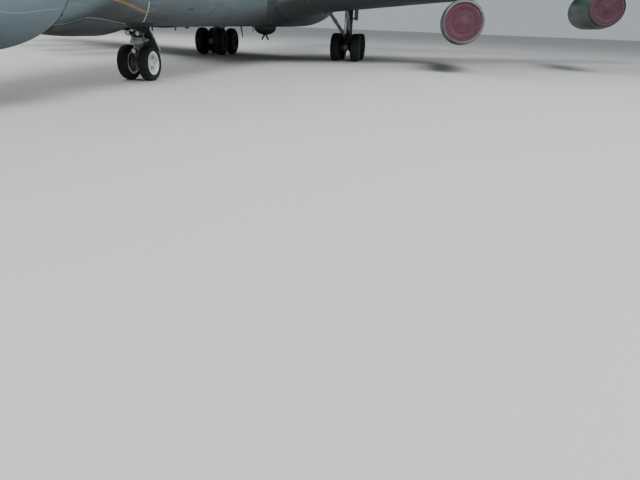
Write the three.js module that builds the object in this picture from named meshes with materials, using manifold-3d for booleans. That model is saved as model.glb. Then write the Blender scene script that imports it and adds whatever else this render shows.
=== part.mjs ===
// A four-engined swept-wing jet of the narrow body airliner family, with a big drooping nose radome,
// parked on its wheels with covers in its engine intakes. It is a model at half of full size.
//
// Every piece is worked out in the aircraft's own axes: x to port, y aft from the nose wheel axle,
// z up from the ground. The last lines shift the group so that its origin is under its middle.

import * as THREE from 'three';
import { mergeVertices } from 'three/addons/utils/BufferGeometryUtils.js';
import Module from 'manifold-3d';

// Scale: sizes are real metres times M, which makes them model millimetres.

const SCALE = 1 / 2;
const M = 1000 * SCALE;
const DEG = Math.PI / 180;

// Fits, in model millimetres

const SEAT = 0.3;
const RUNNING_GAP = 6;
const OVERLAP = 20;

// Roundness: how many facets go round each kind of piece

const BODY_FACETS = 32;
const NACELLE_FACETS = 18;
const WHEEL_FACETS = 16;
const TUBE_FACETS = 10;

// Overall places

const NOSE_TIP_Y = -7.4 * M;
const HALF_SPAN = 19.94 * M;
const RADOME_JOINT_Y = -4.0 * M;

const wasm = await Module();
wasm.setup();

// Geometry helpers

const vec = (x, y, z) => new THREE.Vector3(x, y, z);

// A skin over a list of sections with equal point counts. Each end is a fan about its own middle.
function loft(sections) {
  const count = sections[0].length;
  const ends = [sections[0], sections[sections.length - 1]];
  const middles = ends.map((ring) => ring.reduce((sum, p) => sum.add(p), vec(0, 0, 0)).divideScalar(count));
  const positions = [...sections.flat(), ...middles].flatMap((p) => p.toArray());
  const index = [];
  for (let s = 0; s + 1 < sections.length; s += 1) {
    for (let i = 0; i < count; i += 1) {
      const a = s * count + i;
      const b = s * count + ((i + 1) % count);
      index.push(a, b, b + count, a, b + count, a + count);
    }
  }
  const last = (sections.length - 1) * count;
  const firstMiddle = sections.length * count;
  for (let i = 0; i < count; i += 1) {
    const next = (i + 1) % count;
    index.push(firstMiddle, next, i, firstMiddle + 1, last + i, last + next);
  }
  const geometry = new THREE.BufferGeometry();
  geometry.setAttribute('position', new THREE.Float32BufferAttribute(positions, 3));
  geometry.setIndex(index);
  return geometry;
}

// A solid for joining and cutting, its faces turned outward whichever way the geometry runs.
function solid(geometry, matrix = new THREE.Matrix4()) {
  const bare = geometry.clone().applyMatrix4(matrix);
  bare.deleteAttribute('normal');
  bare.deleteAttribute('uv');
  const merged = mergeVertices(bare, 1e-3);
  const p = merged.getAttribute('position').array;
  const triangles = [];
  let volume = 0;
  for (let i = 0; i < merged.index.count; i += 3) {
    const [a, b, c] = [0, 1, 2].map((k) => merged.index.array[i + k]);
    if (a !== b && b !== c && c !== a) {
      triangles.push([a, b, c]);
      const [va, vb, vc] = [a, b, c].map((k) => new THREE.Vector3().fromArray(p, 3 * k));
      volume += va.dot(vb.cross(vc));
    }
  }
  const turned = volume < 0 ? triangles.map(([a, b, c]) => [a, c, b]) : triangles;
  const mesh = new wasm.Mesh({
    numProp: 3,
    vertProperties: new Float32Array(p),
    triVerts: new Uint32Array(turned.flat()),
  });
  return new wasm.Manifold(mesh);
}

function geometryOf(body) {
  const mesh = body.getMesh();
  const geometry = new THREE.BufferGeometry();
  geometry.setAttribute('position', new THREE.BufferAttribute(mesh.vertProperties, 3));
  geometry.setIndex(new THREE.BufferAttribute(mesh.triVerts, 1));
  return geometry;
}

const moved = (body, x, y, z) => solid(geometryOf(body), new THREE.Matrix4().makeTranslation(x, y, z));
const mirrored = (body) => solid(geometryOf(body), new THREE.Matrix4().makeScale(-1, 1, 1));
const join = (first, ...others) => others.reduce((sum, body) => sum.add(body), first);
const cut = (first, ...others) => others.reduce((rest, body) => rest.subtract(body), first);

// Radius of a faceted hole whose flats clear a round piece of this radius by the seat gap.
const boreFor = (radius) => (radius + SEAT) / Math.cos(Math.PI / WHEEL_FACETS);
const boreOf = (wheel) => [boreFor(wheel.axle), boreFor(wheel.axle), WHEEL_FACETS];

// A straight round bar from one point to another, with its own radius at each end.
function bar(from, to, radius, endRadius = radius, facets = TUBE_FACETS) {
  const along = to.clone().sub(from);
  const geometry = new THREE.CylinderGeometry(endRadius, radius, along.length(), facets);
  const turn = new THREE.Quaternion().setFromUnitVectors(vec(0, 1, 0), along.clone().normalize());
  const middle = from.clone().add(to).multiplyScalar(0.5);
  return solid(geometry, new THREE.Matrix4().compose(middle, turn, vec(1, 1, 1)));
}

// A box from its lowest to its highest corner.
function block(low, high) {
  const size = high.clone().sub(low);
  const middle = low.clone().add(high).multiplyScalar(0.5);
  const geometry = new THREE.BoxGeometry(size.x, size.y, size.z);
  return solid(geometry, new THREE.Matrix4().makeTranslation(middle.x, middle.y, middle.z));
}

// A flat plate between two points, this wide and thick, with its width along the given direction.
function plate(from, to, width, thickness, widthDirection) {
  const along = to.clone().sub(from);
  const u = along.clone().normalize();
  const w = widthDirection.clone().addScaledVector(u, -widthDirection.dot(u)).normalize();
  const n = u.clone().cross(w);
  const middle = from.clone().add(to).multiplyScalar(0.5);
  const frame = new THREE.Matrix4().makeBasis(u, w, n).setPosition(middle);
  return solid(new THREE.BoxGeometry(along.length(), width, thickness), frame);
}

// A turned piece: profile points are [radius, distance along the axis from the start].
// A flat of it faces down, so that a wheel rests on a flat.
function turnedPiece(profile, facets, start, axis) {
  const points = profile.map(([radius, along]) => new THREE.Vector2(radius, along));
  const turn = new THREE.Quaternion().setFromUnitVectors(vec(0, 1, 0), axis);
  const frame = new THREE.Matrix4().compose(start, turn, vec(1, 1, 1));
  return solid(new THREE.LatheGeometry(points, facets, Math.PI / facets), frame);
}

function extrusionOf(outline, depth) {
  const shape = new THREE.Shape(outline.map(([u, v]) => new THREE.Vector2(u, v)));
  return new THREE.ExtrudeGeometry(shape, { depth, bevelEnabled: false });
}

// A closed outline of [y, z] points, carried across x from one side to the other.
function sidewaysExtrusion(outline, x1, x2) {
  const frame = new THREE.Matrix4().makeBasis(vec(0, 1, 0), vec(0, 0, 1), vec(1, 0, 0));
  return solid(extrusionOf(outline, x2 - x1), frame.setPosition(x1, 0, 0));
}

// A closed outline of [x, y] points, carried up from one height to another.
function upwardExtrusion(outline, z1, z2) {
  return solid(extrusionOf(outline, z2 - z1), new THREE.Matrix4().makeTranslation(0, 0, z1));
}

// Round bars from rows. Columns: from x, y, z, to x, y, z, radius, in real metres.
// The base is the point that the rows are measured from, in model millimetres.
function barsOf(rows, base = vec(0, 0, 0)) {
  return rows.map(([x1, y1, z1, x2, y2, z2, radius]) => bar(
    vec(x1, y1, z1).multiplyScalar(M).add(base),
    vec(x2, y2, z2).multiplyScalar(M).add(base),
    radius * M,
  ));
}

// Fuselage: a row for each station, in real metres.
// Columns: station y, half width, height of the widest line, crown, keel.

const BODY_STATIONS = [
  [-4.0, 1.22, 2.37, 3.58, 1.25],
  [-3.1, 1.37, 2.6, 3.8, 1.25],
  [-2.5, 1.48, 2.75, 4.22, 1.25],
  [-1.9, 1.58, 2.88, 4.72, 1.255],
  [-1.0, 1.7, 3.1, 5.06, 1.26],
  [0.0, 1.78, 3.28, 5.29, 1.265],
  [1.2, 1.82, 3.4, 5.43, 1.27],
  [3.0, 1.83, 3.45, 5.52, 1.305],
  [8.0, 1.83, 3.45, 5.52, 1.36],
  [15.5, 1.83, 3.45, 5.52, 1.41],
  [18.0, 1.83, 3.45, 5.52, 1.465],
  [19.5, 1.82, 3.47, 5.52, 1.6],
  [21.5, 1.79, 3.52, 5.52, 2.0],
  [24.0, 1.71, 3.66, 5.51, 2.47],
  [27.0, 1.44, 3.95, 5.48, 3.03],
  [30.0, 1.07, 4.3, 5.38, 3.55],
  [32.5, 0.7, 4.5, 5.2, 3.97],
  [34.0, 0.42, 4.6, 5.0, 4.3],
  [34.5, 0.2, 4.62, 4.8, 4.45],
];
const BODY_ROUNDNESS = 2.15;
const NOSE_ROUNDNESS = 2.0;

// A section is a pair of half superellipses that share the widest line.
function bodySection([y, halfWidth, middle, crown, keel], grow = 0) {
  const blend = THREE.MathUtils.clamp((y + 4) / 3, 0, 1);
  const power = 2 / THREE.MathUtils.lerp(NOSE_ROUNDNESS, BODY_ROUNDNESS, blend);
  const ring = [];
  for (let i = 0; i < BODY_FACETS; i += 1) {
    const angle = (2 * Math.PI * i) / BODY_FACETS;
    const across = Math.sign(Math.sin(angle)) * Math.abs(Math.sin(angle)) ** power;
    const up = Math.sign(Math.cos(angle)) * Math.abs(Math.cos(angle)) ** power;
    const reach = up > 0 ? crown - middle : middle - keel;
    ring.push(vec(across * (halfWidth * M + grow), y * M, middle * M + up * (reach * M + grow)));
  }
  return ring;
}

const barrel = solid(loft(BODY_STATIONS.map((row) => bodySection(row))));
const barrelGrown = solid(loft(BODY_STATIONS.map((row) => bodySection(row, SEAT))));

// Lifting surfaces: ribs carry a symmetric thickness form on a sloping chord line.

const RIB_POINTS = 9;

// Half thickness of the aerofoil form at a fraction of its chord, for a thickness ratio.
function halfThickness(fraction, ratio) {
  const f = fraction;
  const root = 0.2969 * Math.sqrt(f) - 0.126 * f - 0.3516 * f ** 2;
  return 5 * ratio * (root + 0.2843 * f ** 3 - 0.1015 * f ** 4);
}

// A rib holds its leading and trailing points, the direction of its thickness and its ratio.
function ribRing({ lead, trail, thick, ratio }) {
  const chord = trail.clone().sub(lead);
  const fractions = [];
  for (let i = 0; i <= RIB_POINTS; i += 1) {
    fractions.push((1 - Math.cos((Math.PI * i) / RIB_POINTS)) / 2);
  }
  const point = (f, sign) => lead.clone()
    .addScaledVector(chord, f)
    .addScaledVector(thick, sign * chord.length() * halfThickness(f, ratio));
  const upper = fractions.map((f) => point(f, 1));
  const lower = fractions.slice(1).reverse().map((f) => point(f, -1));
  return [...upper, ...lower];
}

// Wing plan: the leading edge is straight, and the trailing edge has a kink.

const WING = {
  leadAtCentre: 6.3 * M,
  leadSlope: 0.772,
  kinkX: 7.0 * M,
  trailAtKink: 18.0 * M,
  innerTrailSlope: 0.33,
  outerTrailSlope: 0.505,
  trailHeightAtRoot: 2.35 * M,
  dihedralSlope: 0.118,
  rootX: 1.98 * M,
  rootIncidence: 2 * DEG,
  rootRatio: 0.135,
  tipRatio: 0.1,
};

function masterRib(x) {
  const past = x - WING.kinkX;
  const slope = past < 0 ? WING.innerTrailSlope : WING.outerTrailSlope;
  const trailY = WING.trailAtKink + slope * past;
  const leadY = WING.leadAtCentre + WING.leadSlope * x;
  const trailZ = WING.trailHeightAtRoot + WING.dihedralSlope * (x - WING.rootX);
  const out = x / HALF_SPAN;
  const leadZ = trailZ + (trailY - leadY) * Math.tan(WING.rootIncidence * (1 - out));
  return {
    lead: vec(x, leadY, leadZ),
    trail: vec(x, trailY, trailZ),
    thick: vec(0, 0, 1),
    ratio: THREE.MathUtils.lerp(WING.rootRatio, WING.tipRatio, out),
  };
}

// Three master ribs set out the wing, and its skin runs straight from one to the next.
const TIP_DEPTH = 0.12 * M;
const MASTER_RIBS = [WING.rootX, WING.kinkX, HALF_SPAN - TIP_DEPTH].map(masterRib);

const chordOf = (rib) => rib.trail.distanceTo(rib.lead);

function wingRib(x) {
  const [root, kink, tip] = MASTER_RIBS;
  const [inner, outer] = x < WING.kinkX ? [root, kink] : [kink, tip];
  const part = (x - inner.lead.x) / (outer.lead.x - inner.lead.x);
  const lead = inner.lead.clone().lerp(outer.lead, part);
  const trail = inner.trail.clone().lerp(outer.trail, part);
  const depths = [inner, outer].map((rib) => rib.ratio * chordOf(rib));
  const ratio = THREE.MathUtils.lerp(...depths, part) / trail.distanceTo(lead);
  return { lead, trail, thick: inner.thick, ratio };
}

// A rounded tip: the last ribs thin along a quarter circle, which stops short of closing so that
// a narrow flat end is left, and their leading edge sweeps back by a part of the chord.
const TIP_ROUNDING = 84 * DEG;
const TIP_SWEEPBACK = 0.06;
const TIP_STEPS = 3;

function tipRibs(rib, outward) {
  const chord = rib.trail.clone().sub(rib.lead);
  return Array.from({ length: TIP_STEPS }, (_, i) => {
    const angle = (TIP_ROUNDING * (i + 1)) / TIP_STEPS;
    const out = (TIP_DEPTH * Math.sin(angle)) / Math.sin(TIP_ROUNDING);
    const shift = outward.clone().multiplyScalar(out);
    return {
      ...rib,
      lead: rib.lead.clone().addScaledVector(chord, TIP_SWEEPBACK * (1 - Math.cos(angle))).add(shift),
      trail: rib.trail.clone().add(shift),
      ratio: rib.ratio * Math.cos(angle),
    };
  });
}

// A lifting surface through its ribs, closed by a rounded tip.
function liftingSurface(ribs, outward) {
  return solid(loft([...ribs, ...tipRibs(ribs[ribs.length - 1], outward)].map(ribRing)));
}

const wingBlank = liftingSurface(MASTER_RIBS, vec(1, 0, 0));

// The wing with its seat gap round its nose and under it, which cuts whatever is fastened there.
const wingShadow = join(
  wingBlank,
  ...[[-1, -1], [-1, 1], [-1.4, 0], [0, -1.4]].map(([y, z]) => moved(wingBlank, 0, y * SEAT, z * SEAT)),
);

// Point on the chord line of a rib, with the surface's half thickness there.
function hingePoint(rib, fraction) {
  const chord = rib.trail.clone().sub(rib.lead);
  return {
    point: rib.lead.clone().addScaledVector(chord, fraction),
    radius: chord.length() * halfThickness(fraction, rib.ratio),
  };
}

const PIN_RADIUS = 7;
const PIN_FACETS = 8;
const NOSE_ARC_STEPS = 6;
const COVE_ARC_STEPS = 6;

// Points round an arc that bulges against v, as [along v, along w] pairs, from -w to +w.
function frontArc(radius, setback, steps) {
  const open = Math.acos(setback / radius);
  return Array.from({ length: steps + 1 }, (_, i) => {
    const angle = -open + (2 * open * i) / steps;
    return [-radius * Math.cos(angle), radius * Math.sin(angle)];
  });
}

// A control surface let into its parent. Its nose is round about the hinge line, its ends are
// square to that line, and a pin at each end carries it. The cove's lips are cut back far enough
// for the full travel either way.
function controlSurface({ ribAt, from, to, fraction, travel, reach, thick }) {
  const a = hingePoint(ribAt(from), fraction);
  const b = hingePoint(ribAt(to), fraction);
  const u = b.point.clone().sub(a.point).normalize();
  const w = thick.clone().addScaledVector(u, -thick.dot(u)).normalize();
  const v = w.clone().cross(u);
  if (v.y < 0) v.negate();
  const span = b.point.distanceTo(a.point);
  const radiusAt = (s) => THREE.MathUtils.lerp(a.radius, b.radius, s / span);
  const biggest = Math.max(a.radius, b.radius);
  const lip = (RUNNING_GAP + biggest * (1 - Math.cos(travel))) / Math.sin(travel) + RUNNING_GAP;
  const at = (s, along = 0, up = 0) => a.point.clone()
    .addScaledVector(u, s)
    .addScaledVector(v, along)
    .addScaledVector(w, up);

  // Where a line of equal chord fraction on the skin crosses the plane square to the hinge.
  const skinAt = (s, f, sign) => {
    const [p1, p2] = [from, to].map((place) => {
      const rib = ribAt(place);
      const { point, radius } = hingePoint(rib, f);
      return point.addScaledVector(rib.thick, sign * radius);
    });
    const step = p2.clone().sub(p1);
    const t = (s - p1.clone().sub(a.point).dot(u)) / step.dot(u);
    return p1.addScaledVector(step, t);
  };
  const aftFractions = [fraction, (1 + fraction) / 2, 1];
  const panelRing = (s) => [
    ...frontArc(radiusAt(s), 0, NOSE_ARC_STEPS).slice(1, -1).map(([y, z]) => at(s, y, z)),
    ...aftFractions.map((f) => skinAt(s, f, 1)),
    ...aftFractions.slice().reverse().map((f) => skinAt(s, f, -1)),
  ];
  const tall = 3 * biggest;
  const coveRing = (s) => [
    ...frontArc(radiusAt(s) + RUNNING_GAP, lip, COVE_ARC_STEPS).map(([y, z]) => at(s, y, z)),
    at(s, -lip, tall),
    at(s, reach, tall),
    at(s, reach, -tall),
    at(s, -lip, -tall),
  ];
  const panel = solid(loft([panelRing(RUNNING_GAP), panelRing(span - RUNNING_GAP)]));
  const cove = solid(loft([coveRing(0), coveRing(span)]));
  const pins = [
    bar(at(-OVERLAP), at(RUNNING_GAP - SEAT), PIN_RADIUS, PIN_RADIUS, PIN_FACETS),
    bar(at(span - RUNNING_GAP + SEAT), at(span + OVERLAP), PIN_RADIUS, PIN_RADIUS, PIN_FACETS),
  ];
  return { panel, cove, pins, hinge: { point: a.point, axis: u } };
}

// Columns: name, inner and outer rib x, hinge as a part of the chord, travel either way.

const WING_SURFACES = [
  ['flap_inboard', 2.8, 6.85, 0.77, 40],
  ['aileron_inboard', 7.15, 8.95, 0.76, 20],
  ['flap_outboard', 9.2, 13.5, 0.74, 40],
  ['aileron_outboard', 13.75, 18.4, 0.74, 20],
];

const surfaces = WING_SURFACES.map(([name, from, to, fraction, travel]) => ({
  name,
  ...controlSurface({
    ribAt: wingRib,
    from: from * M,
    to: to * M,
    fraction,
    travel: travel * DEG,
    reach: 2.6 * M,
    thick: vec(0, 0, 1),
  }),
}));

// Spoilers: thin panels let into the upper skin, hinged just under the skin at their front edge.
// Columns: name, inner and outer rib x, front and back edge as parts of the chord.

const SPOILERS = [
  ['spoiler_inboard', 3.4, 6.3, 0.62, 0.7],
  ['spoiler_outboard', 9.6, 13.0, 0.58, 0.66],
];
const SPOILER_THICKNESS = 14;
const SPOILER_HINGE_DEPTH = 7;
const SPOILER_PIN_RADIUS = 4;
const SPOILER_BLOCK_HEIGHT = 0.36 * M;

// Point on the upper skin of the wing.
function upperSkin(x, fraction) {
  const rib = wingRib(x);
  const { point, radius } = hingePoint(rib, fraction);
  return point.clone().add(vec(0, 0, radius));
}

function spoiler([name, from, to, front, back]) {
  const a = upperSkin(from * M, front);
  const b = upperSkin(to * M, front);
  const u = b.clone().sub(a).normalize();
  const v = vec(0, 0, 1).cross(u).normalize();
  const span = b.distanceTo(a);
  const chord = upperSkin(to * M, back).sub(b).dot(v);
  const axisStart = a.clone().add(vec(0, 0, -SPOILER_HINGE_DEPTH));
  const at = (s) => axisStart.clone().addScaledVector(u, s);
  const prism = (s1, s2, v1, v2) => {
    const middle = at((s1 + s2) / 2).addScaledVector(v, (v1 + v2) / 2);
    const frame = new THREE.Matrix4().makeBasis(u, v, u.clone().cross(v)).setPosition(middle);
    return solid(new THREE.BoxGeometry(s2 - s1, v2 - v1, SPOILER_BLOCK_HEIGHT), frame);
  };
  const sheet = cut(wingBlank, moved(wingBlank, 0, 0, -SPOILER_THICKNESS));
  const bed = moved(wingBlank, 0, 0, -SPOILER_THICKNESS - RUNNING_GAP);
  const panel = sheet.intersect(prism(RUNNING_GAP, span - RUNNING_GAP, 0, chord));
  const recess = cut(prism(0, span, -2 * RUNNING_GAP, chord + RUNNING_GAP), bed);
  const pins = [
    bar(at(-OVERLAP), at(RUNNING_GAP - SEAT), SPOILER_PIN_RADIUS, SPOILER_PIN_RADIUS, PIN_FACETS),
    bar(at(span - RUNNING_GAP + SEAT), at(span + OVERLAP), SPOILER_PIN_RADIUS, SPOILER_PIN_RADIUS,
      PIN_FACETS),
  ];
  return { name, panel, cove: recess, pins, hinge: { point: axisStart, axis: u } };
}

const spoilers = SPOILERS.map(spoiler);

// Jacking pad: a short boss with a flat face under each wing, and one under the nose.

const PAD_RADIUS = 30;
const WING_PAD = { x: 2.75 * M, y: 11.2 * M, z: 1.98 * M };
const NOSE_PAD = { x: 0, y: 3.1 * M, z: 1.26 * M };
const padBoss = ({ x, y, z }, height) => bar(vec(x, y, z), vec(x, y, z + height), PAD_RADIUS);

const wing = join(
  cut(wingBlank, ...surfaces.map((s) => s.cove), ...spoilers.map((s) => s.cove)),
  ...surfaces.flatMap((s) => s.pins),
  ...spoilers.flatMap((s) => s.pins),
  padBoss(WING_PAD, 0.4 * M),
);

// Fin and rudder. The fin stands on a flat-topped root fairing that is part of the fuselage.

const FIN = {
  baseZ: 5.66 * M,
  baseLeadY: 26.2 * M,
  baseTrailY: 33.6 * M,
  tipZ: 12.7 * M,
  tipLeadY: 31.2 * M,
  tipTrailY: 34.2 * M,
  ratio: 0.1,
};

function finRib(z) {
  const up = (z - FIN.baseZ) / (FIN.tipZ - FIN.baseZ);
  return {
    lead: vec(0, THREE.MathUtils.lerp(FIN.baseLeadY, FIN.tipLeadY, up), z),
    trail: vec(0, THREE.MathUtils.lerp(FIN.baseTrailY, FIN.tipTrailY, up), z),
    thick: vec(1, 0, 0),
    ratio: FIN.ratio,
  };
}

const finBlank = liftingSurface([FIN.baseZ + SEAT, FIN.tipZ - TIP_DEPTH].map(finRib), vec(0, 0, 1));
const rudder = controlSurface({
  ribAt: finRib,
  from: 6.35 * M,
  to: 12.0 * M,
  fraction: 0.7,
  travel: 25 * DEG,
  reach: 2.8 * M,
  thick: vec(1, 0, 0),
});
const fin = join(cut(finBlank, rudder.cove), ...rudder.pins);

// The root fairing below the fin, from inside the fuselage up to the fin's foot, and a little
// longer and fuller than the fin.
const FIN_FAIRING = { bottomZ: 4.6 * M, ahead: 0.25 * M, behind: 0.05 * M, fuller: 1.08 };
const finFoot = finRib(FIN.baseZ);
const finFairing = solid(loft([FIN_FAIRING.bottomZ, FIN.baseZ].map((z) => ribRing({
  ...finFoot,
  lead: vec(0, finFoot.lead.y - FIN_FAIRING.ahead, z),
  trail: vec(0, finFoot.trail.y + FIN_FAIRING.behind, z),
  ratio: FIN_FAIRING.fuller * FIN.ratio,
}))));

// Tailplane: both halves turn together about one pivot line for trim.

const TAIL = {
  leadAtCentre: 28.7 * M,
  leadSlope: 0.826,
  trailAtCentre: 34.03 * M,
  trailSlope: 0.321,
  height: 4.5 * M,
  dihedralSlope: 0.123,
  innerX: 0.3 * M,
  tipX: 6.135 * M,
  ratio: 0.1,
  pivotY: 32.35 * M,
  pivotX: 0.75 * M,
  pivotReach: 0.3 * M,
  pivotRadius: 0.12 * M,
};

function tailRib(x) {
  const z = TAIL.height + TAIL.dihedralSlope * (x - TAIL.innerX);
  return {
    lead: vec(x, TAIL.leadAtCentre + TAIL.leadSlope * x, z),
    trail: vec(x, TAIL.trailAtCentre + TAIL.trailSlope * x, z),
    thick: vec(0, 0, 1),
    ratio: TAIL.ratio,
  };
}

const tailBlank = liftingSurface([TAIL.innerX, TAIL.tipX - TIP_DEPTH].map(tailRib), vec(1, 0, 0));

// The tailplane's root follows the fuselage's taper, clear of it through the whole trim range.
const TAIL_ROOT = { frontY: 28.0 * M, frontX: 1.42 * M, backY: 34.9 * M, backX: 0.42 * M };
const tailRootCut = upwardExtrusion([
  [0, TAIL_ROOT.frontY],
  [TAIL_ROOT.frontX, TAIL_ROOT.frontY],
  [TAIL_ROOT.backX, TAIL_ROOT.backY],
  [0, TAIL_ROOT.backY],
], TAIL.height - M, TAIL.height + M);

const elevator = controlSurface({
  ribAt: tailRib,
  from: 1.2 * M,
  to: 5.55 * M,
  fraction: 0.7,
  travel: 25 * DEG,
  reach: 1.7 * M,
  thick: vec(0, 0, 1),
});
const pivotZ = tailRib(TAIL.pivotX).lead.z;
const pivotAt = (x) => vec(x, TAIL.pivotY, pivotZ);
const tailPivot = bar(pivotAt(TAIL.pivotX), pivotAt(TAIL.pivotX + TAIL.pivotReach), TAIL.pivotRadius);
const tailplane = join(
  cut(tailBlank, tailRootCut, elevator.cove),
  ...elevator.pins,
  tailPivot,
);
const bodyPivot = bar(vec(0, TAIL.pivotY, pivotZ), pivotAt(TAIL.pivotX - SEAT), TAIL.pivotRadius);

// Engines: nacelles with a plug let into each intake.
// Columns: name, x, intake y, axis height, in real metres.

const ENGINES = [
  ['inboard', 8.3, 8.16, 1.81],
  ['outboard', 14.2, 12.77, 2.6],
];
const LIP_RADIUS = 0.7 * M;
const COWL_RADIUS = 0.8 * M;
const INTAKE_RADIUS = 0.65 * M;
const INTAKE_DEPTH = 0.34 * M;
const COVER_DEPTH = 0.29 * M;
const NACELLE_LENGTH = 5.6 * M;

// Outer line of the cowl as [part of the length, radius].
const COWL_LINE = [
  [0.0, 0.67 * M],
  [0.008, LIP_RADIUS - 8],
  [0.03, LIP_RADIUS + 8],
  [0.16, COWL_RADIUS],
  [0.6, COWL_RADIUS],
  [0.74, 0.7 * M],
  [0.88, 0.5 * M],
  [1.0, 0.37 * M],
];

function nacelle(inlet, grow) {
  const outside = COWL_LINE.map(([part, radius]) => [radius + grow, part * NACELLE_LENGTH]);
  const profile = grow
    ? [[0, 0], ...outside, [0, NACELLE_LENGTH]]
    : [[0, INTAKE_DEPTH], [INTAKE_RADIUS, INTAKE_DEPTH], [INTAKE_RADIUS, 0.01 * NACELLE_LENGTH],
      ...outside, [0.32 * M, NACELLE_LENGTH], [0.3 * M, 0.93 * NACELLE_LENGTH],
      [0.16 * M, 0.93 * NACELLE_LENGTH], [0, 1.02 * NACELLE_LENGTH]];
  return turnedPiece(profile, NACELLE_FACETS, inlet, vec(0, 1, 0));
}

const COVER_STEP = 10;

// A plug: its middle stands a step proud of its rim.
function inletCover(inlet) {
  const r = INTAKE_RADIUS - SEAT;
  const back = INTAKE_DEPTH - SEAT;
  const rim = INTAKE_DEPTH - COVER_DEPTH;
  const middle = rim - COVER_STEP;
  const profile = [[0, middle], [0.4 * r, middle], [0.42 * r, rim], [r, rim], [r, back], [0, back]];
  return turnedPiece(profile, NACELLE_FACETS, inlet, vec(0, 1, 0));
}

// A pylon is a side outline cut to a slim plan, then fitted to the wing and the nacelle.

const PYLON_HALF_WIDTH = 0.19 * M;

// Columns: aft of the intake, above the engine's axis, in real metres.
const PYLON_FRONT = [[1.1, 0.4], [1.3, 0.85], [2.6, 1.28]];
const PYLON_FOOT = [5.43, 0.3];

// Columns: part of the wing's chord, above the chord line in real metres.
const PYLON_TOP = [[-0.03, 0.1], [0.04, 0.04], [0.55, 0.0], [0.55, -0.4]];

// Columns: part of the pylon's length, part of its width.
const PYLON_PLAN = [[0, 0.25], [0.04, 0.7], [0.14, 1], [0.6, 1], [1, 0.2]];

function pylon(inlet) {
  const rib = wingRib(inlet.x);
  const fromInlet = ([aft, up]) => [inlet.y + aft * M, inlet.z + up * M];
  const onWing = ([part, up]) => {
    const p = rib.lead.clone().lerp(rib.trail, part);
    return [p.y, p.z + up * M];
  };
  const outline = [...PYLON_FRONT.map(fromInlet), ...PYLON_TOP.map(onWing), fromInlet(PYLON_FOOT)];
  const side = sidewaysExtrusion(outline, inlet.x - PYLON_HALF_WIDTH, inlet.x + PYLON_HALF_WIDTH);
  const along = outline.map(([y]) => y);
  const [nose, tail] = [Math.min(...along), Math.max(...along)];
  const edge = (sign) => PYLON_PLAN.map(([part, width]) => [
    inlet.x + sign * width * PYLON_HALF_WIDTH,
    THREE.MathUtils.lerp(nose, tail, part),
  ]);
  const plan = upwardExtrusion([...edge(1), ...edge(-1).reverse()], inlet.z, inlet.z + 4 * M);
  return cut(side.intersect(plan), wingShadow, nacelle(inlet, SEAT));
}

// Nose radome: an ellipsoid with its back cut flat where it meets the fuselage.

const RADOME = { y: -5.24 * M, z: 2.36 * M, radius: 1.5 * M, halfLength: -NOSE_TIP_Y - 5.24 * M };
const RADOME_STEPS = 11;

function radomeProfile() {
  const start = RADOME.y - RADOME.halfLength;
  const lastAngle = Math.acos((RADOME.y - RADOME_JOINT_Y + SEAT) / RADOME.halfLength);
  const profile = [];
  for (let i = 0; i <= RADOME_STEPS; i += 1) {
    const angle = (lastAngle * i) / RADOME_STEPS;
    const along = RADOME.halfLength * (1 - Math.cos(angle));
    profile.push([RADOME.radius * Math.sin(angle), along]);
  }
  profile.push([0, profile[RADOME_STEPS][1]]);
  return { start, profile };
}

const { start: radomeStart, profile: radomeLine } = radomeProfile();
const radome = turnedPiece(radomeLine, BODY_FACETS, vec(0, radomeStart, RADOME.z), vec(0, 1, 0));

// Chin fairing: a shallow blister under the nose, fitted to the fuselage.
// Columns: station y, half width, depth below its rim, in real metres.

const CHIN_STATIONS = [
  [-3.97, 0.62, 0.3],
  [-3.3, 0.79, 0.38],
  [-2.1, 0.74, 0.4],
  [-1.6, 0.58, 0.37],
  [-1.25, 0.44, 0.3],
  [-0.9, 0.26, 0.19],
];
const CHIN_RIM_Z = 1.48 * M;
const CHIN_FACETS = 20;

const chinBlank = solid(loft(CHIN_STATIONS.map(([y, halfWidth, depth]) => {
  const ring = [];
  for (let i = 0; i < CHIN_FACETS; i += 1) {
    const angle = (2 * Math.PI * i) / CHIN_FACETS;
    ring.push(vec(halfWidth * M * Math.sin(angle), y * M, CHIN_RIM_Z - depth * M * Math.cos(angle)));
  }
  return ring;
})));
const chin = cut(chinBlank, barrelGrown);

// Belly aerials: thin blades that hang from the keel.
// Columns: x, front y, back y, foot y at the tip, tip z, in real metres.

const BLADES = [
  [-0.35, 1.48, 1.68, 1.6, 1.18],
  [0, 2.2, 2.4, 2.32, 1.2],
  [0, 7.84, 8.08, 8.2, 0.95],
  [0, 9.36, 9.56, 9.5, 1.17],
];
const BLADE_HALF_WIDTH = 6;
const BLADE_ROOT_Z = 1.5 * M;
const blades = BLADES.map(([x, front, back, foot, tip]) => sidewaysExtrusion([
  [front * M, BLADE_ROOT_Z],
  [foot * M - 18, tip * M],
  [foot * M + 18, tip * M],
  [back * M, BLADE_ROOT_Z],
], x * M - BLADE_HALF_WIDTH, x * M + BLADE_HALF_WIDTH));

// Belly dome: a dark bowl under the keel with a forked pair of fins below it.

const DOME = { y: 11.18 * M, radius: 0.485 * M, topZ: 1.62 * M, rimZ: 1.36 * M, bottomZ: 1.04 * M };
const DOME_FIN = { tipX: 0.16 * M, tipZ: 0.82 * M, rootZ: 1.12 * M, chord: 0.2 * M, thickness: 18 };

const BOWL_STEPS = 5;

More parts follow.
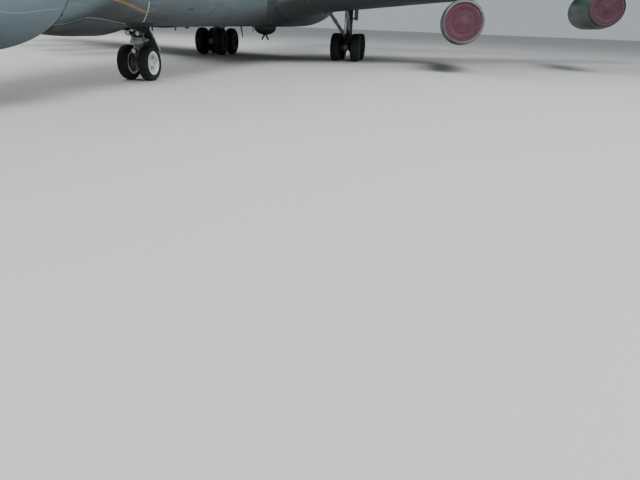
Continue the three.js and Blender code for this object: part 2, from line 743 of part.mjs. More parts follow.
// The bowl is a quarter ellipse from its bottom up to its rim, then a straight wall into the keel.
const bowlLine = Array.from({ length: BOWL_STEPS + 1 }, (_, i) => {
  const angle = (Math.PI / 2) * (i / BOWL_STEPS);
  return [DOME.radius * Math.sin(angle), DOME.rimZ - (DOME.rimZ - DOME.bottomZ) * Math.cos(angle)];
});
const bowl = turnedPiece([...bowlLine, [DOME.radius, DOME.topZ], [0, DOME.topZ]],
  NACELLE_FACETS, vec(0, DOME.y, 0), vec(0, 0, 1));
const forks = [-1, 1].map((side) => plate(vec(0, DOME.y, DOME_FIN.rootZ),
  vec(side * DOME_FIN.tipX, DOME.y, DOME_FIN.tipZ), DOME_FIN.chord, DOME_FIN.thickness, vec(0, 1, 0)));
const bellyDome = cut(join(bowl, ...forks), barrelGrown);

// Wheels: a tyre is a closed ring, and a wheel set is one axle with its two wheels.

const NOSE_WHEEL = {
  radius: 0.43 * M,
  width: 0.28 * M,
  rim: 0.275 * M,
  halfSpacing: 0.28 * M,
  axle: 0.055 * M,
};
const MAIN_WHEEL = {
  radius: 0.615 * M,
  width: 0.42 * M,
  rim: 0.29 * M,
  halfSpacing: 0.46 * M,
  axle: 0.07 * M,
};

// Tyre section: how far out from the rim and how wide, as parts of its height and width.
const TYRE_LINE = [[0, 0.38], [0.35, 0.5], [0.75, 0.46], [0.95, 0.28], [1, 0]];

function tyre(wheel, centre) {
  const bead = wheel.rim + SEAT / Math.cos(Math.PI / WHEEL_FACETS);
  const tread = wheel.radius / Math.cos(Math.PI / WHEEL_FACETS);
  const half = TYRE_LINE.map(([out, side]) => [bead + out * (tread - bead), side * wheel.width]);
  const otherHalf = half.slice(0, -1).reverse().map(([radius, side]) => [radius, -side]);
  const profile = [...half, ...otherHalf, half[0]];
  return turnedPiece(profile, WHEEL_FACETS, centre, vec(1, 0, 0));
}

function wheelSet(wheel, centre) {
  const { rim, width, axle, halfSpacing: s } = wheel;
  const out = [
    [axle, s - 0.4 * width],
    [rim, s - 0.4 * width],
    [rim, s + 0.42 * width],
    [0.86 * rim, s + 0.42 * width],
    [0.62 * rim, s + 0.14 * width],
    [0.34 * rim, s + 0.14 * width],
    [0.28 * rim, s + 0.4 * width],
    [0, s + 0.4 * width],
  ];
  const mirror = out.map(([radius, along]) => [radius, -along]).reverse();
  return turnedPiece([...mirror, ...out], WHEEL_FACETS, centre, vec(1, 0, 0));
}

// Nose gear: a bay in the keel, a leg that hangs from its roof, a door panel behind it, and a
// fork below that steers and carries the wheels. It is drawn about the leg's own axis, and then
// moved to its place under the fuselage.

const BAY = { halfWidth: 0.46 * M, front: -0.62 * M, back: 1.3 * M, bottom: 1.0 * M, roof: 2.1 * M };
const NOSE_GEAR = vec(0, 0.12 * M, 0);
const noseAxleZ = NOSE_WHEEL.radius;
const onNoseGear = (body) => solid(geometryOf(body), new THREE.Matrix4().makeTranslation(NOSE_GEAR));
const bay = block(vec(-BAY.halfWidth, BAY.front, BAY.bottom), vec(BAY.halfWidth, BAY.back, BAY.roof));

// The leg's strut and the foot of its brace are seated on the bay's roof. The rest is in rows:
// collar, brace, cross pin, two lamps and the bar that carries them.
const NOSE_LEG = { radius: 0.1 * M, bottom: 0.8 * M, collar: 0.15 * M };
const BRACE_FOOT = { y: 1.15 * M, bottom: 1.94 * M, radius: 0.07 * M };
const NOSE_LEG_BARS = [
  [0, 0, 0.9, 0, 0, 1.04, 0.15],
  [0, 0, 1.5, 0, 1.15, 1.98, 0.05],
  [-0.3, 0, 1.36, 0.3, 0, 1.36, 0.06],
  [-0.13, -0.24, 1.12, -0.13, -0.04, 1.12, 0.09],
  [0.13, -0.24, 1.12, 0.13, -0.04, 1.12, 0.09],
  [-0.2, -0.04, 1.12, 0.2, -0.04, 1.12, 0.035],
];
// Two cheek plates hang on the cross pin, one each side of the leg.
const CHEEK = { inner: 0.23 * M, outer: 0.27 * M, halfLength: 0.36 * M, bottom: 1.15 * M, top: 1.5 * M };
const cheek = block(
  vec(CHEEK.inner, -CHEEK.halfLength, CHEEK.bottom),
  vec(CHEEK.outer, CHEEK.halfLength, CHEEK.top),
);
const noseLeg = join(
  bar(vec(0, 0, NOSE_LEG.bottom), vec(0, 0, BAY.roof - SEAT), NOSE_LEG.radius),
  bar(vec(0, BRACE_FOOT.y, BRACE_FOOT.bottom), vec(0, BRACE_FOOT.y, BAY.roof - SEAT), BRACE_FOOT.radius),
  ...barsOf(NOSE_LEG_BARS),
  cheek,
  mirrored(cheek),
);

// The door panel slants down and aft behind the leg, and a stay holds it to the leg's collar.
const NOSE_DOOR = {
  top: vec(0, 0.2, 1.32).multiplyScalar(M),
  foot: vec(0, 0.75, 0.7).multiplyScalar(M),
  width: 0.44 * M,
  thickness: 0.04 * M,
};
const DOOR_STAY = [[0, 0, 1.0, 0, 0.48, 1.0, 0.03]];
const noseDoor = cut(
  join(
    plate(NOSE_DOOR.top, NOSE_DOOR.foot, NOSE_DOOR.width, NOSE_DOOR.thickness, vec(1, 0, 0)),
    ...barsOf(DOOR_STAY),
  ),
  bar(vec(0, 0, NOSE_LEG.bottom), vec(0, 0, BAY.roof), NOSE_LEG.collar + SEAT),
);

// The fork's post and its head turn under the leg. Its hub carries the axle, a lamp faces
// forward, and the lug of the torque link faces aft.
const FORK = { postRadius: 0.075 * M, headRadius: 0.12 * M, headBottom: 0.68 * M };
const STEER_HUB = { radius: 0.1 * M, halfLength: 0.14 * M };
const FORK_LAMP = [[0, -0.26, 0.72, 0, 0, 0.72, 0.07]];
const LINK_LUG = [vec(-0.05, 0.05, 0.69), vec(0.05, 0.2, 0.75)].map((corner) => corner.multiplyScalar(M));
const forkTop = vec(0, 0, NOSE_LEG.bottom - SEAT);
const noseFork = cut(
  join(
    bar(vec(0, 0, noseAxleZ), forkTop, FORK.postRadius),
    bar(vec(0, 0, FORK.headBottom), forkTop, FORK.headRadius),
    bar(vec(-STEER_HUB.halfLength, 0, noseAxleZ), vec(STEER_HUB.halfLength, 0, noseAxleZ), STEER_HUB.radius),
    ...barsOf(FORK_LAMP),
    block(...LINK_LUG),
  ),
  bar(vec(-M, 0, noseAxleZ), vec(M, 0, noseAxleZ), ...boreOf(NOSE_WHEEL)),
);

// Main gear on the port side: a leg under the wing, two braces, a door on its outer side, and
// a bogie beam with two axles.

const BOGIE = { x: 3.31 * M, y: 13.93 * M, halfBase: 0.75 * M, radius: 0.13 * M, overhang: 0.22 * M };
const SADDLE = { halfWidth: 0.12 * M, halfLength: 0.2 * M, height: 0.23 * M };
const mainAxleZ = MAIN_WHEEL.radius;
const saddleTop = mainAxleZ + SADDLE.height;
const bogieAt = (dx, dy, z) => vec(BOGIE.x + dx, BOGIE.y + dy, z);
const beamEnd = BOGIE.halfBase + BOGIE.overhang;
const bogieAxleY = [-BOGIE.halfBase, BOGIE.halfBase];
const axleBores = bogieAxleY.map((dy) => bar(bogieAt(-M, dy, mainAxleZ), bogieAt(M, dy, mainAxleZ),
  ...boreOf(MAIN_WHEEL)));

const bogie = cut(
  join(
    bar(bogieAt(0, -beamEnd, mainAxleZ), bogieAt(0, beamEnd, mainAxleZ), BOGIE.radius),
    block(bogieAt(-SADDLE.halfWidth, -SADDLE.halfLength, mainAxleZ),
      bogieAt(SADDLE.halfWidth, SADDLE.halfLength, saddleTop)),
  ),
  ...axleBores,
);

// The leg's rows, from the bogie's middle: the outer cylinder, the side brace, the fore brace
// and the stay of the door. The sliding tube below them stands on the bogie's saddle.
const SLIDING_TUBE = { radius: 0.11 * M, top: 1.1 * M };
const MAIN_LEG_BARS = [
  [0, 0, 0.94, 0, 0, 2.7, 0.15],
  [-0.1, 0, 0.99, -1.22, 0, 2.42, 0.07],
  [0, -0.08, 1.35, 0, -1.35, 2.6, 0.06],
  [0, 0, 1.88, 0.3, 0, 1.88, 0.04],
];
const LEG_DOOR = { inner: 0.28 * M, outer: 0.33 * M, halfLength: 0.5 * M, bottom: 1.8 * M, top: 2.28 * M };

const mainLeg = cut(
  join(
    bar(bogieAt(0, 0, saddleTop + SEAT), bogieAt(0, 0, SLIDING_TUBE.top), SLIDING_TUBE.radius),
    ...barsOf(MAIN_LEG_BARS, bogieAt(0, 0, 0)),
    block(bogieAt(LEG_DOOR.inner, -LEG_DOOR.halfLength, LEG_DOOR.bottom),
      bogieAt(LEG_DOOR.outer, LEG_DOOR.halfLength, LEG_DOOR.top)),
  ),
  wingShadow,
);

// The assembly

const paint = (color, roughness, metalness) =>
  new THREE.MeshStandardMaterial({ color, roughness, metalness });
const GREY_PAINT = paint(0x71838b, 0.55, 0.1);
const DARK_GREY_PAINT = paint(0x444b4f, 0.6, 0.1);
const RADOME_PAINT = paint(0x6a777d, 0.5, 0.0);
const COWL_PAINT = paint(0x4f5f5b, 0.5, 0.2);
const COVER_RED = paint(0x6b3640, 0.8, 0.0);
const STEEL_PAINT = paint(0x8a9090, 0.4, 0.5);
const RUBBER = paint(0x17181a, 0.9, 0.0);
const RIM_WHITE = paint(0xe4e6e4, 0.5, 0.1);

const aircraft = new THREE.Group();

function add(name, body, material, hinge) {
  const mesh = new THREE.Mesh(geometryOf(body), material);
  mesh.name = name;
  if (hinge) mesh.userData.hinge = hinge;
  aircraft.add(mesh);
}

// A piece on the port side and its mirror image on the starboard side.
function addPair(name, body, material, hinge) {
  add(`${name}_left`, body, material, hinge);
  add(`${name}_right`, mirrored(body), material);
}

// The fuselage carries the wing's centre section up to a flat joint on each side.
const rootRib = wingRib(WING.rootX - SEAT);
const rootAt = (x) => ({
  ...rootRib,
  lead: rootRib.lead.clone().setX(x),
  trail: rootRib.trail.clone().setX(x),
});
const centreWing = solid(loft([rootRib.lead.x, -rootRib.lead.x].map((x) => ribRing(rootAt(x)))));
const fuselage = cut(
  join(barrel, centreWing, finFairing, ...blades, bodyPivot, mirrored(bodyPivot), padBoss(NOSE_PAD, 0.3 * M)),
  onNoseGear(bay),
);

add('fuselage', fuselage, GREY_PAINT);
add('nose_radome', radome, RADOME_PAINT);
add('chin_fairing', chin, DARK_GREY_PAINT);
add('belly_dome', bellyDome, DARK_GREY_PAINT);
addPair('wing', wing, GREY_PAINT);
surfaces.forEach((s) => addPair(s.name, s.panel, GREY_PAINT, s.hinge));
spoilers.forEach((s) => addPair(s.name, s.panel, GREY_PAINT, s.hinge));
add('fin', fin, GREY_PAINT);
add('rudder', rudder.panel, GREY_PAINT, rudder.hinge);
addPair('tailplane', tailplane, GREY_PAINT, { point: pivotAt(0), axis: vec(1, 0, 0) });
addPair('elevator', elevator.panel, GREY_PAINT, elevator.hinge);

ENGINES.forEach(([name, x, y, z]) => {
  const inlet = vec(x, y, z).multiplyScalar(M);
  addPair(`pylon_${name}`, pylon(inlet), DARK_GREY_PAINT);
  addPair(`nacelle_${name}`, nacelle(inlet, 0), COWL_PAINT);
  addPair(`inlet_cover_${name}`, inletCover(inlet), COVER_RED);
});

add('nose_leg', onNoseGear(noseLeg), STEEL_PAINT);
add('nose_gear_door', onNoseGear(noseDoor), DARK_GREY_PAINT);
add('nose_fork', onNoseGear(noseFork), STEEL_PAINT);
const noseCentre = vec(0, 0, noseAxleZ).add(NOSE_GEAR);
add('nose_wheels', wheelSet(NOSE_WHEEL, noseCentre), RIM_WHITE, { point: noseCentre, axis: vec(1, 0, 0) });
addPair('nose_tyre', tyre(NOSE_WHEEL, noseCentre.clone().setX(NOSE_WHEEL.halfSpacing)), RUBBER);

addPair('main_leg', mainLeg, STEEL_PAINT);
addPair('bogie_beam', bogie, STEEL_PAINT);
['front', 'rear'].forEach((place, i) => {
  const centre = vec(BOGIE.x, BOGIE.y + bogieAxleY[i], mainAxleZ);
  const hinge = { point: centre, axis: vec(1, 0, 0) };
  addPair(`main_wheels_${place}`, wheelSet(MAIN_WHEEL, centre), RIM_WHITE, hinge);
  [['outer', 1], ['inner', -1]].forEach(([side, sign]) => {
    const tyreCentre = centre.clone().add(vec(sign * MAIN_WHEEL.halfSpacing, 0, 0));
    addPair(`main_tyre_${place}_${side}`, tyre(MAIN_WHEEL, tyreCentre), RUBBER);
  });
});

const tailTipY = tailRib(TAIL.tipX - TIP_DEPTH).trail.y;
aircraft.position.y = -(NOSE_TIP_Y + tailTipY) / 2;

export default aircraft;
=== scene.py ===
# %% [markdown]
# # A parked four-engined jet at half size
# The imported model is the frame: it has every piece's place and size. This file dresses it, one
# piece at a time, in metres. It loads the frame first, because every place below is worked out
# from a node or from the aircraft's own axes.

# %% Load the frame
import math

import bpy
import numpy as np
from mathutils import Matrix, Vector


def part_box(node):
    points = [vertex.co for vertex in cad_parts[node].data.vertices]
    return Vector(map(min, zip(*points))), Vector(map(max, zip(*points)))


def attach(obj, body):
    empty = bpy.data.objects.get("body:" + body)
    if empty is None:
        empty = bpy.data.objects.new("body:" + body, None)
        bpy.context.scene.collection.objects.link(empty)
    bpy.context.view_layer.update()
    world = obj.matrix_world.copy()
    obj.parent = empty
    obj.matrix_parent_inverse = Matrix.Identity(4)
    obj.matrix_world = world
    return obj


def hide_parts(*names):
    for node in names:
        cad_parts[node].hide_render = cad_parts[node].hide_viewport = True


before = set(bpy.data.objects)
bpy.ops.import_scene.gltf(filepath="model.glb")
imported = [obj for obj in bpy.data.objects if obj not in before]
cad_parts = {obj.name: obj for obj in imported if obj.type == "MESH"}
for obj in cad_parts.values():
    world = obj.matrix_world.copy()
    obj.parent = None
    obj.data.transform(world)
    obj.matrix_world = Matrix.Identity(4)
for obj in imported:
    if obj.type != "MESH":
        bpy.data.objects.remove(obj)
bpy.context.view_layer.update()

# %% [markdown]
# ## The aircraft's own axes
# A big aircraft is easiest to describe in full-size metres: x out to port, y aft from a point just
# ahead of the nose wheel axle, z up from the ground. The model is half of that, and one function
# turns such places into the frame's. The nose axle's place comes from the frame.

# %% Axes
MODEL_SCALE = 0.5
NOSE_GEAR = np.array([0, 0.12, 0])        # the nose leg's own axis
axle_low, axle_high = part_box("nose_wheels")
ORIGIN_Y = (axle_low.y + axle_high.y) / 2 - NOSE_GEAR[1] * MODEL_SCALE


def placed(points):
    """Full-size points in the aircraft's axes become frame metres: halved, then moved along y."""
    return np.asarray(points, float) * MODEL_SCALE + np.array([0.0, ORIGIN_Y, 0.0])


print("origin at y", round(ORIGIN_Y, 4))

# %% [markdown]
# ## Camera
# The camera stands off the port side of the nose and looks well below it, so the aircraft fills
# only the top of the frame. Its place was fitted to wheel sizes, wheelbase and track.

# %% Camera
PHOTO_SIZE = (640, 480)
CAMERA_AT = (7.442, -13.271, 1.456)
CAMERA_YAW, CAMERA_PITCH, CAMERA_ROLL = np.radians([10.685, -21.544, 2.299])
FOCAL_PIXELS = 539.34


def camera_axes(yaw, pitch, roll):
    """Right, up and forward: forward from yaw and pitch, then the first two turned by the roll."""
    forward = np.array([-math.sin(yaw) * math.cos(pitch), math.cos(yaw) * math.cos(pitch),
                        math.sin(pitch)])
    level = np.array([math.cos(yaw), math.sin(yaw), 0.0])
    upright = np.cross(level, forward)
    right = math.cos(roll) * level + math.sin(roll) * upright
    up = -math.sin(roll) * level + math.cos(roll) * upright
    return right, up, forward


right, up, forward = camera_axes(CAMERA_YAW, CAMERA_PITCH, CAMERA_ROLL)
camera_data = bpy.data.cameras.new("camera")
camera_data.sensor_width = 36.0
camera_data.lens = FOCAL_PIXELS / PHOTO_SIZE[0] * camera_data.sensor_width
camera_data.clip_end = 500.0
camera = bpy.data.objects.new("camera", camera_data)
pose = np.eye(4)
pose[:3, 0], pose[:3, 1], pose[:3, 2], pose[:3, 3] = right, up, -forward, placed(CAMERA_AT)
camera.matrix_world = Matrix(pose)
bpy.context.scene.collection.objects.link(camera)
bpy.context.scene.camera = camera
print("lens", round(camera_data.lens, 2), "mm at", np.round(placed(CAMERA_AT), 3))

# %% [markdown]
# ## Colours and nodes
# Colours are the sRGB hex values of a paint chart, made linear by one function. One more adds a
# shader node and fills its sockets in order, so a material reads as a list of steps.

# %% Colour and node helpers
from functools import partial


def linear(hex_colour):
    """sRGB hex to linear RGBA: the standard curve, a straight foot and then a power of 2.4."""
    channels = [int(hex_colour[i:i + 2], 16) / 255 for i in (1, 3, 5)]
    return tuple([c / 12.92 if c <= 0.04045 else ((c + 0.055) / 1.055) ** 2.4 for c in channels] + [1.0])


def new_material(name):
    material = bpy.data.materials.new(name)
    material.use_nodes = True
    material.node_tree.nodes.clear()
    return material


def add_node(material, kind, *values, inputs=None, **settings):
    """Adds a node. Values go into its sockets in order, and inputs into sockets by name. Each is a
    plain value, a node, whose first output is linked, or a (node, output) pair."""
    node = material.node_tree.nodes.new("ShaderNode" + kind)
    for key, value in settings.items():
        setattr(node, key, value)
    for key, value in [*enumerate(values), *(inputs or {}).items()]:
        source, output = value if isinstance(value, tuple) and len(value) == 2 else (value, 0)
        if isinstance(source, bpy.types.Node):
            material.node_tree.links.new(source.outputs[output], node.inputs[key])
        else:
            node.inputs[key].default_value = value
    return node


def close_material(material, colour, rough, normal=None, **sockets):
    """Ends a material: the shader with its colour, roughness and bump, and plain values for the rest."""
    inputs = {"Base Color": colour, "Roughness": rough}
    if normal is not None:
        inputs["Normal"] = normal
    inputs.update({key.replace("_", " "): value for key, value in sockets.items()})
    add_node(material, "OutputMaterial", add_node(material, "BsdfPrincipled", inputs=inputs))
    return material


print("mid grey, #808080, is", round(linear("#808080")[0], 4), "in linear light")

# %% [markdown]
# ## Shapes
# A shape is a set of points, its faces, and the number of the material that they take. A loft is
# enough for a whole aircraft: rings of points, joined one to the next, with a fan over each end.
# The signed volume says whether a closed shape's faces look inward, and then they are turned.

# %% Lofts
from collections import namedtuple

Shape = namedtuple("Shape", "points faces finish")


def unit(vector):
    return np.asarray(vector, float) / np.linalg.norm(vector)


def volume_of(points, faces):
    """Signed volume: a sum over each face's fan of triangles of corner . (corner x corner) / 6."""
    total = 0.0
    for block in faces:
        for k in range(1, block.shape[1] - 1):
            a, b, c = points[block[:, 0]], points[block[:, k]], points[block[:, k + 1]]
            total += np.einsum("ij,ij->", a, np.cross(b, c)) / 6
    return total


def closed_shape(points, faces):
    if volume_of(points - points.mean(axis=0), faces) < 0:
        faces = [block[:, ::-1] for block in faces]
    return Shape(points, faces, 0)


def loft(rings, tips=(None, None)):
    """Rings is (rings, points round, 3). Point i of a ring joins point i of the next, and a fan
    closes each end about its tip, which is the ring's middle unless a point is given."""
    rings = np.asarray(rings, float)
    count, around = rings.shape[:2]
    index = np.arange(count * around).reshape(count, around)
    beside = np.roll(index, -1, axis=1)
    quads = np.stack([index[:-1], beside[:-1], beside[1:], index[1:]], axis=-1).reshape(-1, 4)
    ends = [ring.mean(axis=0) if tip is None else np.asarray(tip, float)
            for ring, tip in zip((rings[0], rings[-1]), tips)]
    points = np.concatenate([rings.reshape(-1, 3), ends])
    start = np.stack([beside[0], index[0], np.full(around, count * around)], axis=-1)
    stop = np.stack([index[-1], beside[-1], np.full(around, count * around + 1)], axis=-1)
    return closed_shape(points, [quads, start, stop])


def ring_loft(rings):
    """A loft whose last ring joins its first, as round a tyre."""
    rings = np.asarray(rings, float)
    index = np.arange(rings.shape[0] * rings.shape[1]).reshape(rings.shape[:2])
    beside, after = np.roll(index, -1, axis=1), np.roll(index, -1, axis=0)
    corner = np.roll(beside, -1, axis=0)
    quads = np.stack([index, beside, corner, after], axis=-1).reshape(-1, 4)
    return closed_shape(rings.reshape(-1, 3), [quads])


square = np.array([(0, 0), (1, 0), (1, 1), (0, 1)], float)
box_test = loft([np.column_stack([square, np.full(4, z)]) for z in (0.0, 2.0)])
print("a loft of two unit squares 2 m apart holds", round(volume_of(box_test.points, box_test.faces), 3))

# %% [markdown]
# What is round on an aircraft is made on a lathe or bent from tube. A lathe turns a profile of
# (radius, along) pairs about an axis. A pipe carries a circle along a smoothed path.

# %% Turned and bent shapes


def side_axes(axis):
    """Two directions square to an axis and to each other."""
    axis = unit(axis)
    helper = [0, 0, 1] if abs(axis[2]) < 0.9 else [0, 1, 0]
    u = unit(np.cross(helper, axis))
    return u, np.cross(axis, u)


def circle(segments):
    angle = np.arange(segments) * 2 * np.pi / segments
    return np.cos(angle)[:, None], np.sin(angle)[:, None]


def turned(profile, origin, axis, segments=64, closed=False):
    """A lathe: each (radius, along) of the profile is a circle about the axis."""
    profile = np.asarray(profile, float)
    u, v = side_axes(axis)
    cos, sin = circle(segments)
    spokes = cos * u + sin * v
    centres = np.asarray(origin, float) + profile[:, 1:] * unit(axis)
    if closed:
        return ring_loft(centres[:, None] + profile[:, 0, None, None] * spokes)
    tips = [centres[i] if profile[i, 0] == 0 else None for i in (0, -1)]
    open_part = profile[:, 0] > 0
    rings = centres[open_part][:, None] + profile[open_part][:, 0, None, None] * spokes
    return loft(rings, tips)


def bar(start, stop, radius, segments=32, chamfer=0.08):
    """A round bar between two points whose ends are chamfered by a part of its radius."""
    start, stop = np.asarray(start, float), np.asarray(stop, float)
    length = np.linalg.norm(stop - start)
    edge = chamfer * radius
    profile = [(radius - edge, 0), (radius, edge), (radius, length - edge), (radius - edge, length)]
    return turned(profile, start, stop - start, segments)


def tube(path, radius):
    """A round pipe: a circle carried along a path, square to the path's direction at each point."""
    path = np.asarray(path, float)
    along = np.gradient(path, axis=0)
    along /= np.linalg.norm(along, axis=1, keepdims=True)
    helper = np.array([0, 0, 1]) if np.abs(along[:, 2]).max() < 0.95 else np.array([1, 0.13, 0])
    u = np.cross(helper, along)
    u /= np.linalg.norm(u, axis=1, keepdims=True)
    v = np.cross(along, u)
    cos, sin = circle(12)
    return loft(path[:, None] + radius * (cos * u[:, None] + sin * v[:, None]))


def smooth_path(corners, steps=8):
    """A rounded line through corners: a cubic between each two, with slopes taken across them."""
    corners = np.asarray(corners, float)
    slopes = np.gradient(corners, axis=0)
    t = np.linspace(0, 1, steps, endpoint=False)[:, None]
    a, b = 2 * t**3 - 3 * t**2 + 1, t**3 - 2 * t**2 + t
    pieces = [a * p + b * m + (1 - a) * q + (t**3 - t**2) * n
              for p, q, m, n in zip(corners[:-1], corners[1:], slopes[:-1], slopes[1:])]
    return np.concatenate(pieces + [corners[-1:]])


pin_test = bar((0, 0, 0), (0, 0, 1), 0.1)
print("a bar has", sum(len(block) for block in pin_test.faces), "faces")

# %% [markdown]
# Doors, lugs and brackets are cut from plate. An outline is lofted through four levels, the outer
# two drawn in a little, which gives every edge the small chamfer that catches the light.

# %% Plates and blocks


def rounded_rectangle(width, height, radius):
    """Outline of (u, v) points: four quarter circles, one about each corner's middle."""
    turn = np.linspace(0, np.pi / 2, 5)
    corners = [(1, 1, 0), (-1, 1, 1), (-1, -1, 2), (1, -1, 3)]
    return np.concatenate([np.stack([
        su * (width / 2 - radius) + radius * np.cos(turn + quarter * np.pi / 2),
        sv * (height / 2 - radius) + radius * np.sin(turn + quarter * np.pi / 2)], axis=-1)
        for su, sv, quarter in corners])


def plate(outline, thickness, origin, u, v, chamfer=0.15):
    """An outline of (u, v) points made a plate of this thickness about the origin. Its edges are
    chamfered by a part of the thickness."""
    outline = np.asarray(outline, float)
    u, v = unit(u), unit(v)
    normal = np.cross(u, v)
    middle = outline.mean(axis=0)
    edge = chamfer * thickness
    reach = np.linalg.norm(outline - middle, axis=1).mean()
    inner = middle + (outline - middle) * (1 - edge / reach)
    flat = lambda line, height: np.asarray(origin) + line[:, :1] * u + line[:, 1:] * v + height * normal
    half = thickness / 2
    return loft([flat(inner, -half), flat(outline, edge - half), flat(outline, half - edge),
                 flat(inner, half)])


def block(low, high, radius=0.02):
    """A box from its lowest to its highest corner, with rounded upright edges."""
    low, high = np.asarray(low, float), np.asarray(high, float)
    size = high - low
    outline = rounded_rectangle(size[0], size[1], min(radius, 0.45 * size[:2].min()))
    return plate(outline, size[2], (low + high) / 2, (1, 0, 0), (0, 1, 0), min(0.1, radius / size[2]))


def finished(shape, finish):
    return shape._replace(finish=finish)


def mirrored(shape):
    """The same shape on the other side of the aircraft, its faces turned so that they look out."""
    return Shape(shape.points * [-1, 1, 1], [block[:, ::-1] for block in shape.faces], shape.finish)


def both(shapes):
    return shapes + [mirrored(shape) for shape in shapes]


def moved(shape, offset):
    return shape._replace(points=shape.points + np.asarray(offset, float))


print("a block has", len(block((0, 0, 0), (1, 1, 1)).points), "points")

# %% [markdown]
# ## Meshes and pieces
# Shapes go into a mesh as whole arrays. Each point also keeps how much painted shade it takes:
# more where it faces down, and in spots behind the nose wheel and along the keel. A cut is an
# exact Boolean, kept as the mesh, so nothing depends on a live modifier.

# %% Filling a mesh


def fill_mesh(mesh, shapes):
    """Puts the shapes into a mesh, in frame metres."""
    offsets = np.cumsum([0] + [len(shape.points) for shape in shapes])
    blocks = [(block + offset, shape.finish)
              for shape, offset in zip(shapes, offsets) for block in shape.faces]
    corners = np.concatenate([block.ravel() for block, _ in blocks])
    sizes = np.concatenate([np.full(len(block), block.shape[1]) for block, _ in blocks])
    points = placed(np.concatenate([shape.points for shape in shapes]))
    mesh.vertices.add(len(points))
    mesh.vertices.foreach_set("co", points.ravel())
    mesh.loops.add(len(corners))
    mesh.loops.foreach_set("vertex_index", corners)
    mesh.polygons.add(len(sizes))
    mesh.polygons.foreach_set("loop_start", np.cumsum(sizes) - sizes)
    mesh.polygons.foreach_set("material_index", np.concatenate([np.full(len(b), f) for b, f in blocks]))
    mesh.update(calc_edges=True)
    mesh.validate()


# Spots of painted shade and painted light, where the skin is darker or lighter than its slope
# alone would give. Columns: y and z of the middle, reach along y and z, and how much is added there.
SHADE_SPOTS = np.array([
    [-3.8, 1.8, 0.6, 0.5, -0.35],      # painted light: the cheek behind the radome, lighter than the rest
    [-2.6, 1.7, 0.7, 0.35, 0.22],      # painted shade on the lower cheek
    [-1.8, 1.45, 1.2, 0.12, 0.3],      # painted shade above the chin fairing
    [-1.0, 1.34, 0.7, 0.1, 0.3],       # painted shade between the fairing and the bay
    [9.5, 1.3, 1.8, 0.2, 0.3],         # painted shade on the keel ahead of the belly dome
    [10.5, 1.9, 4.0, 1.2, 0.22],       # painted shade on the wing root's side
])


def mark_painted_shade(mesh):
    """Keeps, at each point, its painted shade: how far its surface faces down, minus the normal's z,
    plus a round falloff, e to the minus distance squared, for each spot, all kept from 0 to 1."""
    points, normals = (np.empty(len(mesh.vertices) * 3, dtype=np.float32) for _ in range(2))
    mesh.vertices.foreach_get("co", points)
    mesh.vertex_normals.foreach_get("vector", normals)
    place = (points.reshape(-1, 3) - [0.0, ORIGIN_Y, 0.0]) / MODEL_SCALE
    away = (place[:, None, 1:] - SHADE_SPOTS[None, :, :2]) / SHADE_SPOTS[None, :, 2:4]
    spots = (SHADE_SPOTS[:, 4] * np.exp(-(away ** 2).sum(axis=2))).sum(axis=1)
    layer = mesh.attributes.new("underside", "FLOAT", "POINT")
    layer.data.foreach_set("value", np.clip(spots - normals.reshape(-1, 3)[:, 2], 0, 1))


# Counts the spots of painted shade and painted light.
print("painted_shade:", len(SHADE_SPOTS), "spots")

# %% Finished pieces
triangle_counts = {}


def settle(piece, body, slot, stands_for):
    """Says what the piece rides on and the nodes it stands for, and prints its size. Its slot is not used."""
    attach(piece, body)
    if stands_for:
        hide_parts(*stands_for)
    piece.data.calc_loop_triangles()
    triangle_counts[piece.name] = len(piece.data.loop_triangles)
    print(f"{piece.name}: {triangle_counts[piece.name]} triangles, rides {body}")


def take_out(piece, cutters):
    """Subtracts the cutters with Blender's exact Boolean, and keeps the result as the mesh. The
    cut faces take the cutter's finish, which counts along the piece's own materials."""
    mesh = bpy.data.meshes.new("cutter")
    fill_mesh(mesh, cutters)
    for material in piece.data.materials:
        mesh.materials.append(material)
    cutter = bpy.data.objects.new("cutter", mesh)
    bpy.context.scene.collection.objects.link(cutter)
    modifier = piece.modifiers.new("cut", "BOOLEAN")
    modifier.operation, modifier.solver, modifier.object = "DIFFERENCE", "EXACT", cutter
    result = bpy.data.meshes.new_from_object(piece.evaluated_get(bpy.context.evaluated_depsgraph_get()))
    piece.modifiers.clear()
    piece.data = result
    bpy.data.objects.remove(cutter)


def make_piece(name, shapes, materials, body="root", stands_for=(), slot="grey_paint", sharp=35,
               cutters=()):
    """A finished piece: its mesh, its materials, what it rides on and the nodes it stands for.
    Cutters are shapes taken out of it. Edges sharper than the angle stay sharp."""
    mesh = bpy.data.meshes.new(name)
    fill_mesh(mesh, shapes)
    for material in materials:
        mesh.materials.append(material)
    piece = bpy.data.objects.new(name, mesh)
    bpy.context.scene.collection.objects.link(piece)
    if cutters:
        take_out(piece, cutters)
    mark_painted_shade(piece.data)
    piece.data.shade_smooth()
    piece.data.set_sharp_from_angle(angle=math.radians(sharp))
    settle(piece, body, slot, stands_for)
    return piece


def make_pair(name, shapes, materials, bodies=("root", "root"), stands_for=(), slot="grey_paint", sharp=35,
              cutters=()):
    """The port piece and its mirror image. Node and piece names end in _left and _right."""
    left = make_piece(name + "_left", shapes, materials, bodies[0],
                      [node + "_left" for node in stands_for], slot, sharp, cutters)
    mesh = left.data.copy()
    points = np.empty(len(mesh.vertices) * 3)
    mesh.vertices.foreach_get("co", points)
    mesh.vertices.foreach_set("co", (points.reshape(-1, 3) * [-1, 1, 1]).ravel())
    mesh.flip_normals()
    right = bpy.data.objects.new(name + "_right", mesh)
    bpy.context.scene.collection.objects.link(right)
    settle(right, bodies[1], slot, [node + "_right" for node in stands_for])


# Shorthands that pass the gear's slot name, and the dark grey one.
gear_piece, gear_pair = [partial(make, slot="gear_paint") for make in (make_piece, make_pair)]
dark_piece, dark_pair = [partial(make, slot="dark_grey_paint") for make in (make_piece, make_pair)]
print("pieces so far:", len(triangle_counts))
